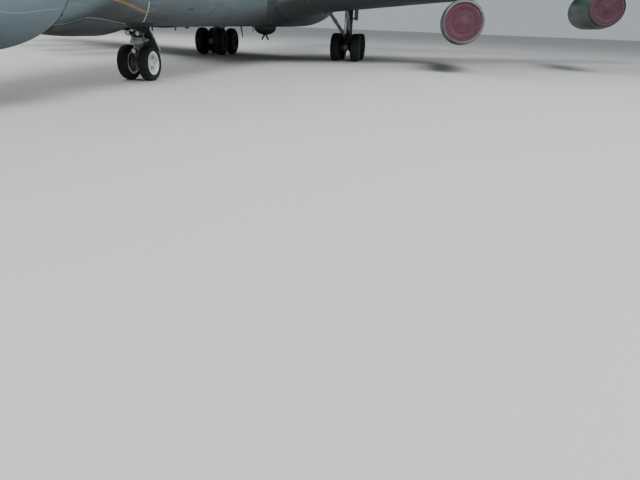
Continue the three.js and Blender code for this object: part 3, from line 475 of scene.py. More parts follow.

# %% [markdown]
# ## Weathered paint and painted shade
# A parked aircraft isn't one grey. Its polyurethane topcoat chalks in the sun, dirt runs aft from
# the joints, and panels have been touched up on different days. One function makes the painted
# skins: cells with a small tint each, thin dark joints, a broad mottle, and streaks along the
# airflow. A film of painted shade darkens what faces down, following each mesh's attribute.

# %% Painted skins
LINE_WIDTH_MM = 2.2       # a real skin joint is under 1 mm wide at this scale, too fine to show
RIVET_PITCH_MM = 24.0     # real rivets at this scale sit every 12 mm, so these are drawn coarser
FRAME_PITCH = 0.25        # the real frames are about 0.5 m apart
PILLOW_MM, RIVET_MM, GROOVE_MM = 0.3, 0.4, 1.0       # heights of the relief
PANEL_TINT, JOINT_TINT = 0.22, 0.55                  # how much dirt a panel or a joint takes at most
STREAK_SCALE = (9.0, 1.1, 9.0)                       # a pattern eight times as long along y as across


def panel_grid(node, place, layout):
    """Two coordinates in metres that run along and across the skin's panels. A body is unrolled
    about its long axis, and a wing or fin is turned by its sweep."""
    split = node("SeparateXYZ", place)
    x, y, z = (split, "X"), (split, "Y"), (split, "Z")
    if layout["kind"] == "body":
        up = node("Math", z, layout["axis_z"], operation="SUBTRACT")
        angle = node("Math", node("Math", x, operation="ABSOLUTE"), up, operation="ARCTAN2")
        return y, node("Math", angle, layout["radius"], operation="MULTIPLY")
    across = node("Math", x, operation="ABSOLUTE") if layout["kind"] == "wing" else z
    cos, sin = math.cos(layout["sweep"]), math.sin(layout["sweep"])
    return [node("Math", across, b, node("Math", y, a, operation="MULTIPLY"), operation="MULTIPLY_ADD")
            for a, b in ((cos, -sin), (sin, cos))]


def joint_lines(node, coordinate, pitch, width):
    """1 on a line at each whole number of pitches and 0 between: a saw of distances to the line."""
    saw = node("Math", coordinate, pitch / 2, operation="PINGPONG")
    return node("MapRange", saw, width * 0.4, width, 1.0, 0.0)


def rivet_rows(node, near, beside, pitch):
    """Dots at the rivets' pitch, kept only in a narrow band beside the joints of one direction."""
    saw = node("Math", beside, RIVET_PITCH_MM / 2000, operation="PINGPONG")
    dots = node("MapRange", saw, RIVET_PITCH_MM / 3200, RIVET_PITCH_MM / 2400)
    return node("Math", dots, joint_lines(node, near, pitch, RIVET_PITCH_MM / 2400), operation="MULTIPLY")


def weathered_and_shaded_paint(name, base, light, dark, layout, pitches, rough=0.55, dirt=0.36, film=0.95):
    """Base, light and dark are hex colours: the coat, where it has chalked, and where dirt and
    painted shade lie. Pitches are the panels' two sizes in metres. The shade film is the share of
    painted shade on surfaces that face down."""
    material = new_material(name)
    node = partial(add_node, material)
    place = (node("TexCoord"), "Object")
    along, across = panel_grid(node, place, layout)
    dark = linear(dark)

    # Each panel's own tint: white noise read at the panel's whole-number place.
    cells = [node("Math", node("Math", c, pitch, operation="DIVIDE"), operation="FLOOR")
             for c, pitch in zip((along, across), pitches)]
    tint = node("TexWhiteNoise", node("CombineXYZ", *cells), noise_dimensions="2D")
    mottle = node("TexNoise", inputs={"Vector": place, "Scale": 0.9, "Detail": 7.0, "Roughness": 0.6})
    coat = node("MixRGB", node("MapRange", mottle, 0.35, 0.7), linear(base), linear(light))
    coat = node("MixRGB", node("Math", tint, PANEL_TINT, operation="MULTIPLY"), coat, dark)

    # Dirt: noise drawn out along the airflow, strongest where a second, broad noise is high.
    drawn_out = node("Mapping", place, inputs={"Scale": STREAK_SCALE})
    runs = node("TexNoise", inputs={"Vector": drawn_out, "Scale": 1.6, "Detail": 8.0, "Roughness": 0.65})
    where = node("TexNoise", inputs={"Vector": place, "Scale": 0.45, "Detail": 3.0})
    amount = node("Math", node("MapRange", runs, 0.46, 0.72), node("MapRange", where, 0.38, 0.66),
                  operation="MULTIPLY")
    coat = node("MixRGB", node("Math", amount, dirt, operation="MULTIPLY"), coat, dark)
    # Painted shade: the dark colour laid over what faces down, following the mesh's attribute.
    down = (node("Attribute", attribute_name="underside"), "Fac")
    low = node("MapRange", down, 0.42, 1.0, 0.0, film, interpolation_type="SMOOTHSTEP")
    coat = node("MixRGB", low, coat, dark)

    # Joints: the stronger of the two sets of lines, broken a little by noise as sealant is.
    width = LINE_WIDTH_MM / 1000
    lines = node("Math", joint_lines(node, along, pitches[0], width),
                 joint_lines(node, across, pitches[1], width), operation="MAXIMUM")
    worn = node("TexNoise", inputs={"Vector": place, "Scale": 14.0, "Detail": 2.0})
    lines = node("Math", lines, node("MapRange", worn, 0.3, 0.5), operation="MULTIPLY")
    coat = node("MixRGB", node("Math", lines, JOINT_TINT, operation="MULTIPLY"), coat, dark)

    # Relief: the skin pillows a little between its frames, as a slow wave, and the joints are
    # grooves with a row of rivets beside them.
    turns = node("Math", along, 2 * math.pi / FRAME_PITCH, operation="MULTIPLY")
    wave = node("Math", turns, operation="SINE")
    rivets = node("Math", rivet_rows(node, along, across, pitches[0]),
                  rivet_rows(node, across, along, pitches[1]), operation="MAXIMUM")
    height = node("Math", wave, PILLOW_MM / 1000, operation="MULTIPLY")
    height = node("Math", rivets, RIVET_MM / 1000, height, operation="MULTIPLY_ADD")
    height = node("Math", lines, -GROOVE_MM / 1000, height, operation="MULTIPLY_ADD")
    bump = node("Bump", inputs={"Height": height, "Strength": 0.6, "Distance": 1.0})
    gloss = node("MapRange", mottle, 0.3, 0.7, rough - 0.1, rough + 0.12)
    return close_material(material, coat, gloss, bump, IOR=1.46)


BODY_LAYOUT = {"kind": "body", "axis_z": 1.7, "radius": 0.95}
WING_LAYOUT = {"kind": "wing", "sweep": math.radians(33)}
FIN_LAYOUT = {"kind": "fin", "sweep": math.radians(20)}
NACELLE_LAYOUT = {"kind": "body", "axis_z": 0.9, "radius": 0.4}
# The third colour serves both as dirt and as painted shade.
GREY, CHALK, DIRT_AND_SHADE = "#71868F", "#7F9199", "#242A2D"

# Sprayed polyurethane: a satin blue grey that chalks paler on top.
skin_paint = weathered_and_shaded_paint("grey_polyurethane_skin", GREY, CHALK, DIRT_AND_SHADE, BODY_LAYOUT, (1.27, 0.42))
wing_paint = weathered_and_shaded_paint("grey_polyurethane_wing", GREY, CHALK, DIRT_AND_SHADE, WING_LAYOUT, (0.62, 1.05))
fin_paint = weathered_and_shaded_paint("grey_polyurethane_fin", GREY, CHALK, DIRT_AND_SHADE, FIN_LAYOUT, (0.7, 0.62))
# A darker copy of the skin paint: a painted shadow of the wing on the root fairing.
root_shadow_paint = weathered_and_shaded_paint("dark_grey_wing_root_coat", "#4B575D", "#566267", "#23292C", BODY_LAYOUT,
                             (1.27, 0.42), film=0.9)
# Brushed neoprene over glass fibre: duller than paint, a little bluer, and without panels.
radome_paint = weathered_and_shaded_paint("grey_neoprene_radome", "#6E838E", "#8294A0", "#3F484D", BODY_LAYOUT,
                               (9.0, 9.0), rough=0.62, dirt=0.3, film=0.85)
# Hard-wearing dark coats on what oil, exhaust and stones reach, and the cowls' glossier enamel.
belly_paint = weathered_and_shaded_paint("dark_grey_belly_coat", "#3A4145", "#4C5458", "#1F2325", BODY_LAYOUT,
                              (2.4, 1.6), rough=0.6)
pylon_paint = weathered_and_shaded_paint("dark_grey_pylon_coat", "#383F42", "#4B5356", "#1F2223", WING_LAYOUT,
                              (0.6, 0.5), rough=0.6, dirt=0.7)
cowl_paint = weathered_and_shaded_paint("green_grey_cowl_enamel", "#33463F", "#4C5E57", "#1B2421", NACELLE_LAYOUT,
                             (0.66, 0.62), rough=0.4, dirt=0.6)
print("painted skins:", len(bpy.data.materials), "materials")

# %% [markdown]
# ## Plain finishes
# One function covers enamels, bare metals and rubber: a base colour mottled towards a second one
# at a real grain size, larger patches of grime, and dust that fades in towards the ground.

# %% Plain finishes


def plain_finish(name, base, second, grain_mm, rough, metallic=0.0, bump_mm=0.05, spread=(0.4, 0.65),
                 grime="#1E1C19", grime_share=0.35, dust_height=None, dust="#6E675C", **sockets):
    """Base turns to second in patches of about the grain size. Grime covers a share of it in
    larger patches, and below dust_height, in metres, dust fades in towards the ground."""
    material = new_material(name)
    node = partial(add_node, material)
    place = (node("TexCoord"), "Object")
    scale = 1000 / grain_mm
    fine = node("TexNoise", inputs={"Vector": place, "Scale": scale, "Detail": 5.0, "Roughness": 0.6})
    broad = node("TexNoise", inputs={"Vector": place, "Scale": scale / 6, "Detail": 4.0})
    colour = node("MixRGB", node("MapRange", fine, *spread), linear(base), linear(second))
    share = node("Math", node("MapRange", broad, 0.48, 0.68), grime_share, operation="MULTIPLY")
    colour = node("MixRGB", share, colour, linear(grime))
    if dust_height:
        fade = node("MapRange", (node("SeparateXYZ", place), "Z"), 0.0, dust_height, 0.75, 0.0)
        patchy = node("Math", fade, node("MapRange", broad, 0.3, 0.7), operation="MULTIPLY")
        colour = node("MixRGB", patchy, colour, linear(dust))
    gloss = node("MapRange", fine, 0.3, 0.7, max(rough - 0.12, 0.04), rough + 0.1)
    bump = node("Bump", inputs={"Height": fine, "Strength": 1.0, "Distance": bump_mm / 1000})
    return close_material(material, colour, gloss, bump, Metallic=metallic, **sockets)


print("materials so far:", len(bpy.data.materials))

# %% [markdown]
# Rubber is dull and nearly black. Sprayed enamel has a soft sheen. Grease and brake dust darken
# it, the main wheels and legs are painted darker as painted shade, and the braces paler as
# painted light, so the gear's parts have their own tones.

# %% Rubber and enamel
tyre_rubber = plain_finish("vulcanised_tyre_rubber", "#0D0E0F", "#18191A", 9, 0.8, bump_mm=0.25,
                           grime="#2B2926", grime_share=0.45, dust_height=0.1, dust="#4A463F")
black_rubber = plain_finish("black_seal_rubber", "#1B1C1D", "#262728", 15, 0.7)
rim_enamel = plain_finish("white_wheel_enamel", "#F2F4F4", "#E3E6E6", 22, 0.4, grime="#6B655C",
                          grime_share=0.3)
web_enamel = plain_finish("blue_grey_web_enamel", "#E2E8EB", "#C3CBD0", 20, 0.45, grime="#5A6066",
                          grime_share=0.4)
# Brake dust and painted shade: the main wheels' enamel, painted dark grey.
dust_and_shade_enamel = plain_finish("brake_dusted_wheel_enamel", "#4A4B4B", "#37383A", 30, 0.55,
                            grime="#191816", grime_share=0.6)
# Painted light: paler enamel for the braces, which stand in the wing's shade.
pale_enamel = plain_finish("pale_brace_enamel", "#B4B8B6", "#9DA2A0", 35, 0.42, grime="#55524B",
                           grime_share=0.4)
gear_enamel = plain_finish("light_grey_gear_enamel", "#8C9292", "#7A8080", 35, 0.42, grime="#37342F",
                           grime_share=0.6)
beam_enamel = plain_finish("grimy_beam_enamel", "#8A887F", "#76746C", 45, 0.5, grime="#33302A",
                           grime_share=0.5)
# Painted shade with grime: a darker copy of the gear enamel for the main legs under the wing.
shaded_enamel = plain_finish("grimy_leg_enamel", "#565B5B", "#484D4D", 35, 0.45, grime="#211F1C",
                             grime_share=0.6)
dark_enamel = plain_finish("dark_grey_gear_enamel", "#2E3133", "#3B3F41", 40, 0.5, grime="#15130F",
                           grime_share=0.5)
bay_primer = plain_finish("dark_bay_primer", "#232827", "#1B1F1E", 60, 0.6, grime="#1A1B19",
                          grime_share=0.5)
# Near black, painted shade: for the gaps and hollows round the nose bay and the chin.
shade_black = plain_finish("sooty_bay_coat", "#0E0F10", "#151617", 30, 0.8, grime="#050505")
print("finishes so far:", len(bpy.data.materials))

# %% [markdown]
# Plated metals keep their full metallic look, and only grime and heat dull them. Lamp glasses and
# panes are tinted plastics under a clear coat, which gives a small sharp highlight.

# %% Metal, glass and marking paint
chrome_plate = plain_finish("hard_chrome_plate", "#C9CBCC", "#B7B9BA", 6, 0.14, metallic=1.0,
                            bump_mm=0.01, grime="#57534B", grime_share=0.15)
bare_steel = plain_finish("bare_brushed_steel", "#8F8C86", "#76726B", 14, 0.38, metallic=1.0,
                          grime="#3A3024", grime_share=0.45)
brake_steel = plain_finish("rusty_brake_steel", "#3B3733", "#5A4332", 12, 0.65, metallic=0.7,
                           grime="#23190F", grime_share=0.6)
exhaust_steel = plain_finish("heat_stained_exhaust_steel", "#5E554C", "#473E38", 70, 0.45,
                             metallic=0.9, grime="#1D1916", grime_share=0.7)
lip_metal = plain_finish("dusty_lip_skin", "#8F8488", "#7A7175", 60, 0.4, metallic=0.35,
                         grime="#574E50", grime_share=0.45)
lamp_glass = plain_finish("clear_lamp_glass", "#E6EAE8", "#D3D8D6", 20, 0.1, grime="#8A8578",
                          grime_share=0.15, Coat_Weight=0.6, IOR=1.5)
red_lamp = plain_finish("red_lamp_glass", "#8E1B17", "#7A1512", 12, 0.12, grime="#3A0D0B",
                        grime_share=0.2, Coat_Weight=0.5)
green_lamp = plain_finish("green_lamp_glass", "#1D6B44", "#175838", 12, 0.12, grime="#0C2F1E",
                          grime_share=0.2, Coat_Weight=0.5)
window_glass = plain_finish("tinted_cockpit_glass", "#12181B", "#1C2428", 160, 0.08, bump_mm=0.005,
                            grime="#3A4145", grime_share=0.25, Coat_Weight=0.8, IOR=1.52)
cover_red = plain_finish("faded_red_plug_paint", "#53283A", "#472230", 34, 0.72, bump_mm=0.4,
                         grime="#574248", grime_share=0.5, spread=(0.35, 0.7))
# A darker copy of the plug red: painted shade for the outboard plugs.
shaded_red = plain_finish("weathered_red_plug_paint", "#431F2D", "#391B27", 34, 0.72, bump_mm=0.4,
                          grime="#483337", grime_share=0.5, spread=(0.35, 0.7))
cover_rim = plain_finish("worn_red_plug_edge", "#5B3440", "#4E2C37", 26, 0.6, bump_mm=0.3,
                         grime="#6B5558", grime_share=0.45)
ochre_paint = plain_finish("ochre_marking_paint", "#9A7B3C", "#86703F", 18, 0.6, grime="#5E5A48",
                           grime_share=0.5)
white_paint = plain_finish("off_white_marking_paint", "#C8CBC6", "#B0B5B1", 16, 0.55,
                           grime="#6C7274", grime_share=0.5)
green_paint = plain_finish("green_marking_paint", "#4E6B4A", "#5C7A55", 12, 0.6, grime="#3E4A3B",
                           grime_share=0.4)
sealant = plain_finish("dark_joint_sealant", "#2A3033", "#363D40", 20, 0.7)
seam_filler = plain_finish("pale_seam_filler", "#8E9DA5", "#82919A", 25, 0.6, grime="#66747B")
print("finishes in all:", len(bpy.data.materials))

# %% [markdown]
# ## The fuselage skin
# A body section is a pair of half superellipses that share the widest line. Its half width,
# crown and keel are known at stations, joined by cubic curves so that light runs without a kink.
# The skin is then one function of two numbers, the distance aft and the angle from the crown.

# %% Fuselage skin
# Columns: station y, half width, height of the widest line, crown, keel, in full-size metres.
BODY_STATIONS = np.array([
    [-4.0, 1.22, 2.37, 3.58, 1.25],
    [-3.1, 1.37, 2.6, 3.8, 1.25],
    [-2.5, 1.48, 2.75, 4.22, 1.25],
    [-1.9, 1.58, 2.88, 4.72, 1.255],
    [-1.0, 1.7, 3.1, 5.06, 1.26],
    [0.0, 1.78, 3.28, 5.29, 1.265],
    [1.2, 1.82, 3.4, 5.43, 1.27],
    [3.0, 1.83, 3.45, 5.52, 1.305],
    [8.0, 1.83, 3.45, 5.52, 1.36],
    [15.5, 1.83, 3.45, 5.52, 1.41],
    [18.0, 1.83, 3.45, 5.52, 1.465],
    [19.5, 1.82, 3.47, 5.52, 1.6],
    [21.5, 1.79, 3.52, 5.52, 2.0],
    [24.0, 1.71, 3.66, 5.51, 2.47],
    [27.0, 1.44, 3.95, 5.48, 3.03],
    [30.0, 1.07, 4.3, 5.38, 3.55],
    [32.5, 0.7, 4.5, 5.2, 3.97],
    [34.0, 0.42, 4.6, 5.0, 4.3],
    [34.5, 0.2, 4.62, 4.8, 4.45],
])


def smooth_table(table, at):
    """Columns of a table as smooth curves of its first column: a cubic between rows, whose slope
    at a row is the harmonic mean of the two beside it, so that no curve overshoots."""
    x, values = table[:, 0], table[:, 1:]
    step = np.diff(x)[:, None]
    rise = np.diff(values, axis=0) / step
    product = rise[:-1] * rise[1:]
    slope = np.zeros_like(values)
    slope[1:-1] = np.where(product > 0, 2 * product / np.where(product > 0, rise[:-1] + rise[1:], 1), 0)
    slope[0], slope[-1] = rise[0], rise[-1]
    at = np.asarray(at, float)
    i = np.clip(np.searchsorted(x, at) - 1, 0, len(x) - 2)
    t = ((at - x[i]) / step[i, 0])[..., None]
    a, b, c = 2 * t**3 - 3 * t**2 + 1, t**3 - 2 * t**2 + t, t**3 - t**2
    curve = a * values[i] + (1 - a) * values[i + 1]
    return curve + step[i] * (b * slope[i] + c * slope[i + 1])


def roundness(y):
    """The superellipse power: a circle at the nose joint, and slightly squarer from y = -1."""
    return 2 / (2.0 + 0.15 * np.clip((np.asarray(y, float) + 4) / 3, 0, 1))


def skin(y, angle, out=0.0):
    """A point on the skin at a station and an angle from the crown, out being metres off it."""
    y, angle = np.broadcast_arrays(np.asarray(y, float), np.asarray(angle, float))
    half, middle, crown, keel = np.moveaxis(smooth_table(BODY_STATIONS, y), -1, 0)
    power = roundness(y)
    across = np.sign(np.sin(angle)) * np.abs(np.sin(angle)) ** power
    up = np.sign(np.cos(angle)) * np.abs(np.cos(angle)) ** power
    reach = np.where(up > 0, crown - middle, middle - keel)
    point = np.stack([across * half, y, middle + up * reach], axis=-1)
    if np.any(out):
        point = point + np.asarray(out)[..., None] * skin_normal(y, angle)
    return point


def skin_normal(y, angle):
    """The outward direction: across two short steps on the skin, one aft and one round."""
    step = 1e-3
    aft = skin(y + step, angle) - skin(y - step, angle)
    round_ = skin(y, angle + step) - skin(y, angle - step)
    normal = np.cross(round_, aft)
    return normal / np.linalg.norm(normal, axis=-1, keepdims=True)


def side_angle(y, z):
    """The angle at which the port side of the skin has this height."""
    _, middle, crown, keel = np.moveaxis(smooth_table(BODY_STATIONS, y), -1, 0)
    up = (np.asarray(z, float) - middle) / np.where(np.asarray(z) > middle, crown - middle, middle - keel)
    return np.arccos(np.sign(up) * np.clip(np.abs(up), 0, 1) ** (1 / roundness(y)))


def belly_angle(y, x):
    """The angle at which the belly of the skin has this x."""
    half = smooth_table(BODY_STATIONS, y)[..., 0]
    part = np.clip(np.abs(np.asarray(x, float)) / half, 0, 1)
    return np.pi - np.arcsin(np.sign(x) * part ** (1 / roundness(y)))


BODY_AROUND = 128
# The stations lie closest on the nose, where the form changes most.
body_y = np.concatenate([np.linspace(-4.0, 3.0, 64), np.linspace(3.2, 19.0, 72)[:-1],
                         np.linspace(19.0, 34.5, 90)])
body_angle = np.arange(BODY_AROUND) * 2 * np.pi / BODY_AROUND
barrel = loft(skin(body_y[:, None], body_angle[None, :]))
print("fuselage skin:", len(barrel.points), "points")

# %% [markdown]
# ## Wing, fin and tailplane
# A lifting surface is a loft of ribs, and a rib is a chord line with a thickness form on it.
# Everything that moves on the wing is worked out from the same ribs, so a flap's skin is the
# wing's own skin, carried on past the cove that the flap sits in.

# %% Ribs
Rib = namedtuple("Rib", "lead trail depth")     # lead and trail are points, depth is the rib's thickness
TIP_DEPTH = 0.12
TIP_ROUNDING = math.radians(84)
TIP_SWEEPBACK = 0.06


def half_thickness(fraction):
    """Half the aerofoil's thickness at a fraction of its chord, as a part of its full thickness."""
    f = np.asarray(fraction, float)
    return 5 * (0.2969 * np.sqrt(f) - 0.126 * f - 0.3516 * f**2 + 0.2843 * f**3 - 0.1015 * f**4)


def between(a, b, part):
    return Rib(*[(1 - part) * p + part * q for p, q in zip(a, b)])


def rib_point(rib, fraction, side, thick):
    """A point at a fraction of the chord, on the chord line or a half thickness to one side of it."""
    fraction = np.asarray(fraction, float)[..., None]
    return rib.lead + fraction * (rib.trail - rib.lead) + side * rib.depth * half_thickness(fraction) * thick


def rib_ring(rib, thick):
    """Round a rib from the trailing edge over one side to the leading edge and back."""
    fraction = (1 - np.cos(np.linspace(0, np.pi, 40))) / 2
    upper = rib_point(rib, fraction, 1, thick)
    lower = rib_point(rib, fraction[1:][::-1], -1, thick)
    return np.concatenate([upper, lower])


def tip_ribs(rib, outward, steps=8):
    """The last ribs thin along a quarter circle, and their leading edge sweeps back a little."""
    chord, ribs = rib.trail - rib.lead, []
    for angle in TIP_ROUNDING * np.arange(1, steps + 1) / steps:
        shift = np.asarray(outward) * TIP_DEPTH * math.sin(angle) / math.sin(TIP_ROUNDING)
        back = TIP_SWEEPBACK * (1 - math.cos(angle)) * chord
        ribs.append(Rib(rib.lead + back + shift, rib.trail + shift, rib.depth * math.cos(angle)))
    return ribs


def surface_loft(ribs, outward, thick, steps=6):
    """The ribs, ruled from one to the next in several steps, and the rounded tip."""
    rows = [between(a, b, i / steps) for a, b in zip(ribs[:-1], ribs[1:]) for i in range(steps)] + [ribs[-1]]
    return loft([rib_ring(rib, thick) for rib in rows + tip_ribs(ribs[-1], outward)])


# The wing's plan, as x of three master ribs. A slope is metres per metre of x.
WING_ROOT, WING_KINK, HALF_SPAN = 1.98, 7.0, 19.94
LEAD_AT_CENTRE, LEAD_SLOPE = 6.3, 0.772
TRAIL_AT_KINK, TRAIL_SLOPE_IN, TRAIL_SLOPE_OUT = 18.0, 0.33, 0.505
TRAIL_AT_ROOT_Z, DIHEDRAL_SLOPE = 2.35, 0.118
ROOT_TWIST = math.radians(2)
ROOT_THICKNESS, THINNING = 0.135, 0.035


def master_rib(x):
    """A rib from the wing's plan. Its twist and its share of thickness fall evenly to the tip."""
    past, out = x - WING_KINK, x / HALF_SPAN
    trail_y = TRAIL_AT_KINK + (TRAIL_SLOPE_IN if past < 0 else TRAIL_SLOPE_OUT) * past
    lead_y = LEAD_AT_CENTRE + LEAD_SLOPE * x
    trail_z = TRAIL_AT_ROOT_Z + DIHEDRAL_SLOPE * (x - WING_ROOT)
    lead_z = trail_z + (trail_y - lead_y) * math.tan(ROOT_TWIST * (1 - out))
    lead, trail = np.array([x, lead_y, lead_z]), np.array([x, trail_y, trail_z])
    return Rib(lead, trail, (ROOT_THICKNESS - THINNING * out) * np.linalg.norm(trail - lead))


MASTER_RIBS = [master_rib(x) for x in (WING_ROOT, WING_KINK, HALF_SPAN - TIP_DEPTH)]
UP, PORT, AFT = np.eye(3)[[2, 0, 1]]


def wing_rib(x):
    root, kink, tip = MASTER_RIBS
    inner, outer = (root, kink) if x < WING_KINK else (kink, tip)
    return between(inner, outer, (x - inner.lead[0]) / (outer.lead[0] - inner.lead[0]))


FIN_FOOT_Z, FIN_TOP = 5.66, 12.7
FIN_FOOT = Rib(np.array([0, 26.2, FIN_FOOT_Z]), np.array([0, 33.6, FIN_FOOT_Z]), 0.74)
FIN_TIP = Rib(np.array([0, 31.2, FIN_TOP]), np.array([0, 34.2, FIN_TOP]), 0.3)
# The tailplane's edges, each as y at x = 0 and its slope, and its own height and dihedral.
TAIL_LEAD, TAIL_TRAIL, TAIL_TIP_X = (28.7, 0.826), (34.03, 0.321), 6.135
TAIL_ROOT_X, TAIL_Z, TAIL_DIHEDRAL, TAIL_THICKNESS = 0.3, 4.5, 0.123, 0.1


def fin_rib(z):
    return between(FIN_FOOT, FIN_TIP, (z - FIN_FOOT_Z) / (FIN_TOP - FIN_FOOT_Z))


def tail_height(x):
    return TAIL_Z + TAIL_DIHEDRAL * (x - TAIL_ROOT_X)


def tail_rib(x):
    lead = np.array([x, TAIL_LEAD[0] + TAIL_LEAD[1] * x, tail_height(x)])
    trail = np.array([x, TAIL_TRAIL[0] + TAIL_TRAIL[1] * x, tail_height(x)])
    return Rib(lead, trail, TAIL_THICKNESS * (trail[1] - lead[1]))


print("wing chords:", [round(float(np.linalg.norm(r.trail - r.lead)), 2) for r in MASTER_RIBS], "m")

# %% [markdown]
# ## Control surfaces
# A control surface has a nose that is round about its hinge line, so the gap in front of it stays
# the same as it turns. Its parent has a cove round that nose, whose lips are cut back far enough
# for the full travel. The cove is a loft of its own, and is subtracted from the parent.

# %% Control surfaces
MM = 0.001 / MODEL_SCALE       # one model millimetre, in full-size metres
RUNNING_GAP = 6 * MM           # between a moving nose and its cove
PIN_SEAT = 0.3 * MM            # between a pin and the panel that turns on it
OVERLAP = 20 * MM              # how far a pin reaches into its parent
PIN_RADIUS, SPOILER_PIN_RADIUS = 7 * MM, 4 * MM


def hinge_pins(at, span, radius, segments):
    """A pin at each end of a panel, from inside the parent to just off the panel. At gives the
    point at a distance along the hinge line."""
    return [bar(at(p), at(q), radius, segments) for p, q in
            ((-OVERLAP, RUNNING_GAP - PIN_SEAT), (span - RUNNING_GAP + PIN_SEAT, span + OVERLAP))]


def front_arc(radius, setback, steps):
    """Round the front of a hinge, as distances along and up, from below it to above it."""
    opening = math.acos(setback / radius)
    angle = np.linspace(-opening, opening, steps)
    return np.stack([-radius * np.cos(angle), radius * np.sin(angle)], axis=-1)


def control_surface(rib_at, start, stop, fraction, travel, reach, thick):
    """The panel, the cove to subtract and the two pins, between two ribs of the parent."""
    ribs = [rib_at(start), rib_at(stop)]
    a, b = [rib_point(r, fraction, 0, thick) for r in ribs]
    radii = [r.depth * half_thickness(fraction) for r in ribs]
    u = unit(b - a)
    w = unit(thick - np.dot(thick, u) * u)
    v = np.cross(w, u)
    v = v if v[1] > 0 else -v
    span = np.linalg.norm(b - a)
    radius_at = lambda s: (1 - s / span) * radii[0] + s / span * radii[1]
    lip = (RUNNING_GAP + max(radii) * (1 - math.cos(travel))) / math.sin(travel) + RUNNING_GAP
    at = lambda s, pair: a + s * u + pair[:, :1] * v + pair[:, 1:] * w

    def skin_line(s, fractions, side):
        """Where lines of equal chord fraction on the skin cross the plane square to the hinge."""
        p1, p2 = [rib_point(r, fractions, side, thick) for r in ribs]
        step = p2 - p1
        t = (s - (p1 - a) @ u) / (step @ u)
        return p1 + t[:, None] * step

    def panel_ring(s):
        fractions = fraction + (1 - fraction) * np.linspace(0, 1, 10)
        nose = at(s, front_arc(radius_at(s), 0, 13)[1:-1])
        return np.concatenate([nose, skin_line(s, fractions, 1), skin_line(s, fractions[::-1], -1)])

    def cove_ring(s):
        tall = 3 * max(radii)
        back = np.array([[-lip, tall], [reach, tall], [reach, -tall], [-lip, -tall]])
        return at(s, np.concatenate([front_arc(radius_at(s) + RUNNING_GAP, lip, 13), back]))

    panel = loft([panel_ring(s) for s in np.linspace(RUNNING_GAP, span - RUNNING_GAP, 7)])
    cove = loft([cove_ring(0), cove_ring(span)])
    return panel, cove, hinge_pins(lambda s: a + s * u, span, PIN_RADIUS, 16)


# Columns: name, inner and outer rib x, hinge as a part of the chord, travel in degrees.
WING_SURFACES = [
    ("flap_inboard", 2.8, 6.85, 0.77, 40),
    ("aileron_inboard", 7.15, 8.95, 0.76, 20),
    ("flap_outboard", 9.2, 13.5, 0.74, 40),
    ("aileron_outboard", 13.75, 18.4, 0.74, 20),
]
# Columns: name, inner and outer rib x, front and back edge as parts of the chord.
SPOILERS = [("spoiler_inboard", 3.4, 6.3, 0.62, 0.7), ("spoiler_outboard", 9.6, 13.0, 0.58, 0.66)]
SPOILER_THICKNESS = 14 * MM


def spoiler(start, stop, front, back):
    """A thin panel of the wing's own upper skin, its recess, and its two pins."""
    a, b = [rib_point(wing_rib(x), front, 1, UP) for x in (start, stop)]
    u = unit(b - a)
    v = unit(np.cross(UP, u))
    span = np.linalg.norm(b - a)
    chord = (rib_point(wing_rib(stop), back, 1, UP) - b) @ v
    axis = a - SPOILER_THICKNESS / 2 * UP

    def upper_skin(s, aft):
        """The skin above a point of the spoiler's plan: its own rib and chord fraction are found
        from the plan, because ribs run fore and aft and the spoiler is set square to its hinge."""
        plan = axis + s * u + aft[:, None] * v
        ribs = [wing_rib(x) for x in plan[:, 0]]
        fractions = [(p[1] - r.lead[1]) / (r.trail[1] - r.lead[1]) for p, r in zip(plan, ribs)]
        return np.array([rib_point(r, f, 1, UP) for r, f in zip(ribs, fractions)])

    def ring(s, low, high, aft):
        top = upper_skin(s, aft)
        return np.concatenate([top + high * UP, (top + low * UP)[::-1]])

    panel_aft = np.linspace(0, chord, 14)
    recess_aft = np.linspace(-2 * RUNNING_GAP, chord + RUNNING_GAP, 16)
    panel = loft([ring(s, -SPOILER_THICKNESS, 0, panel_aft)
                  for s in np.linspace(RUNNING_GAP, span - RUNNING_GAP, 9)])
    recess = loft([ring(s, -SPOILER_THICKNESS - RUNNING_GAP, 0.3, recess_aft)
                   for s in np.linspace(0, span, 9)])
    return panel, recess, hinge_pins(lambda s: axis + s * u, span, SPOILER_PIN_RADIUS, 12)


print("a spoiler's recess has", len(spoiler(*SPOILERS[0][1:])[1].points), "points")

# %% [markdown]
# ## Windows, doors and painted marks on the skin
# A pane or a door is laid out by four corners on the unrolled skin, as stations and angles. A
# squircle, a circle pushed out towards its square, rounds its corners, and each point of it is
# looked up on the skin. A door shows as nothing but its seal, which is the outer ring alone.

# %% Things laid on the skin


def squircle(count, power=5.0):
    """Round a unit square with rounded corners: in each direction, the distance at which the
    powers of both coordinates add up to 1."""
    angle = np.arange(count) * 2 * np.pi / count
    c, s = np.cos(angle), np.sin(angle)
    reach = (np.abs(c) ** power + np.abs(s) ** power) ** (-1 / power)
    return np.stack([reach * c, reach * s], axis=-1)


def on_quad(corners, pairs):
    """Places from -1 to 1 in a four-cornered patch: the corners' weighted mean, going round."""
    corners = np.asarray(corners, float)
    s, t = (pairs[..., :1] + 1) / 2, (pairs[..., 1:] + 1) / 2
    near, far = (1 - s) * corners[0] + s * corners[1], s * corners[2] + (1 - s) * corners[3]
    return (1 - t) * near + t * far


SINK, STRIP_SINK = 0.01, 0.008         # how far their hidden undersides lie below the skin


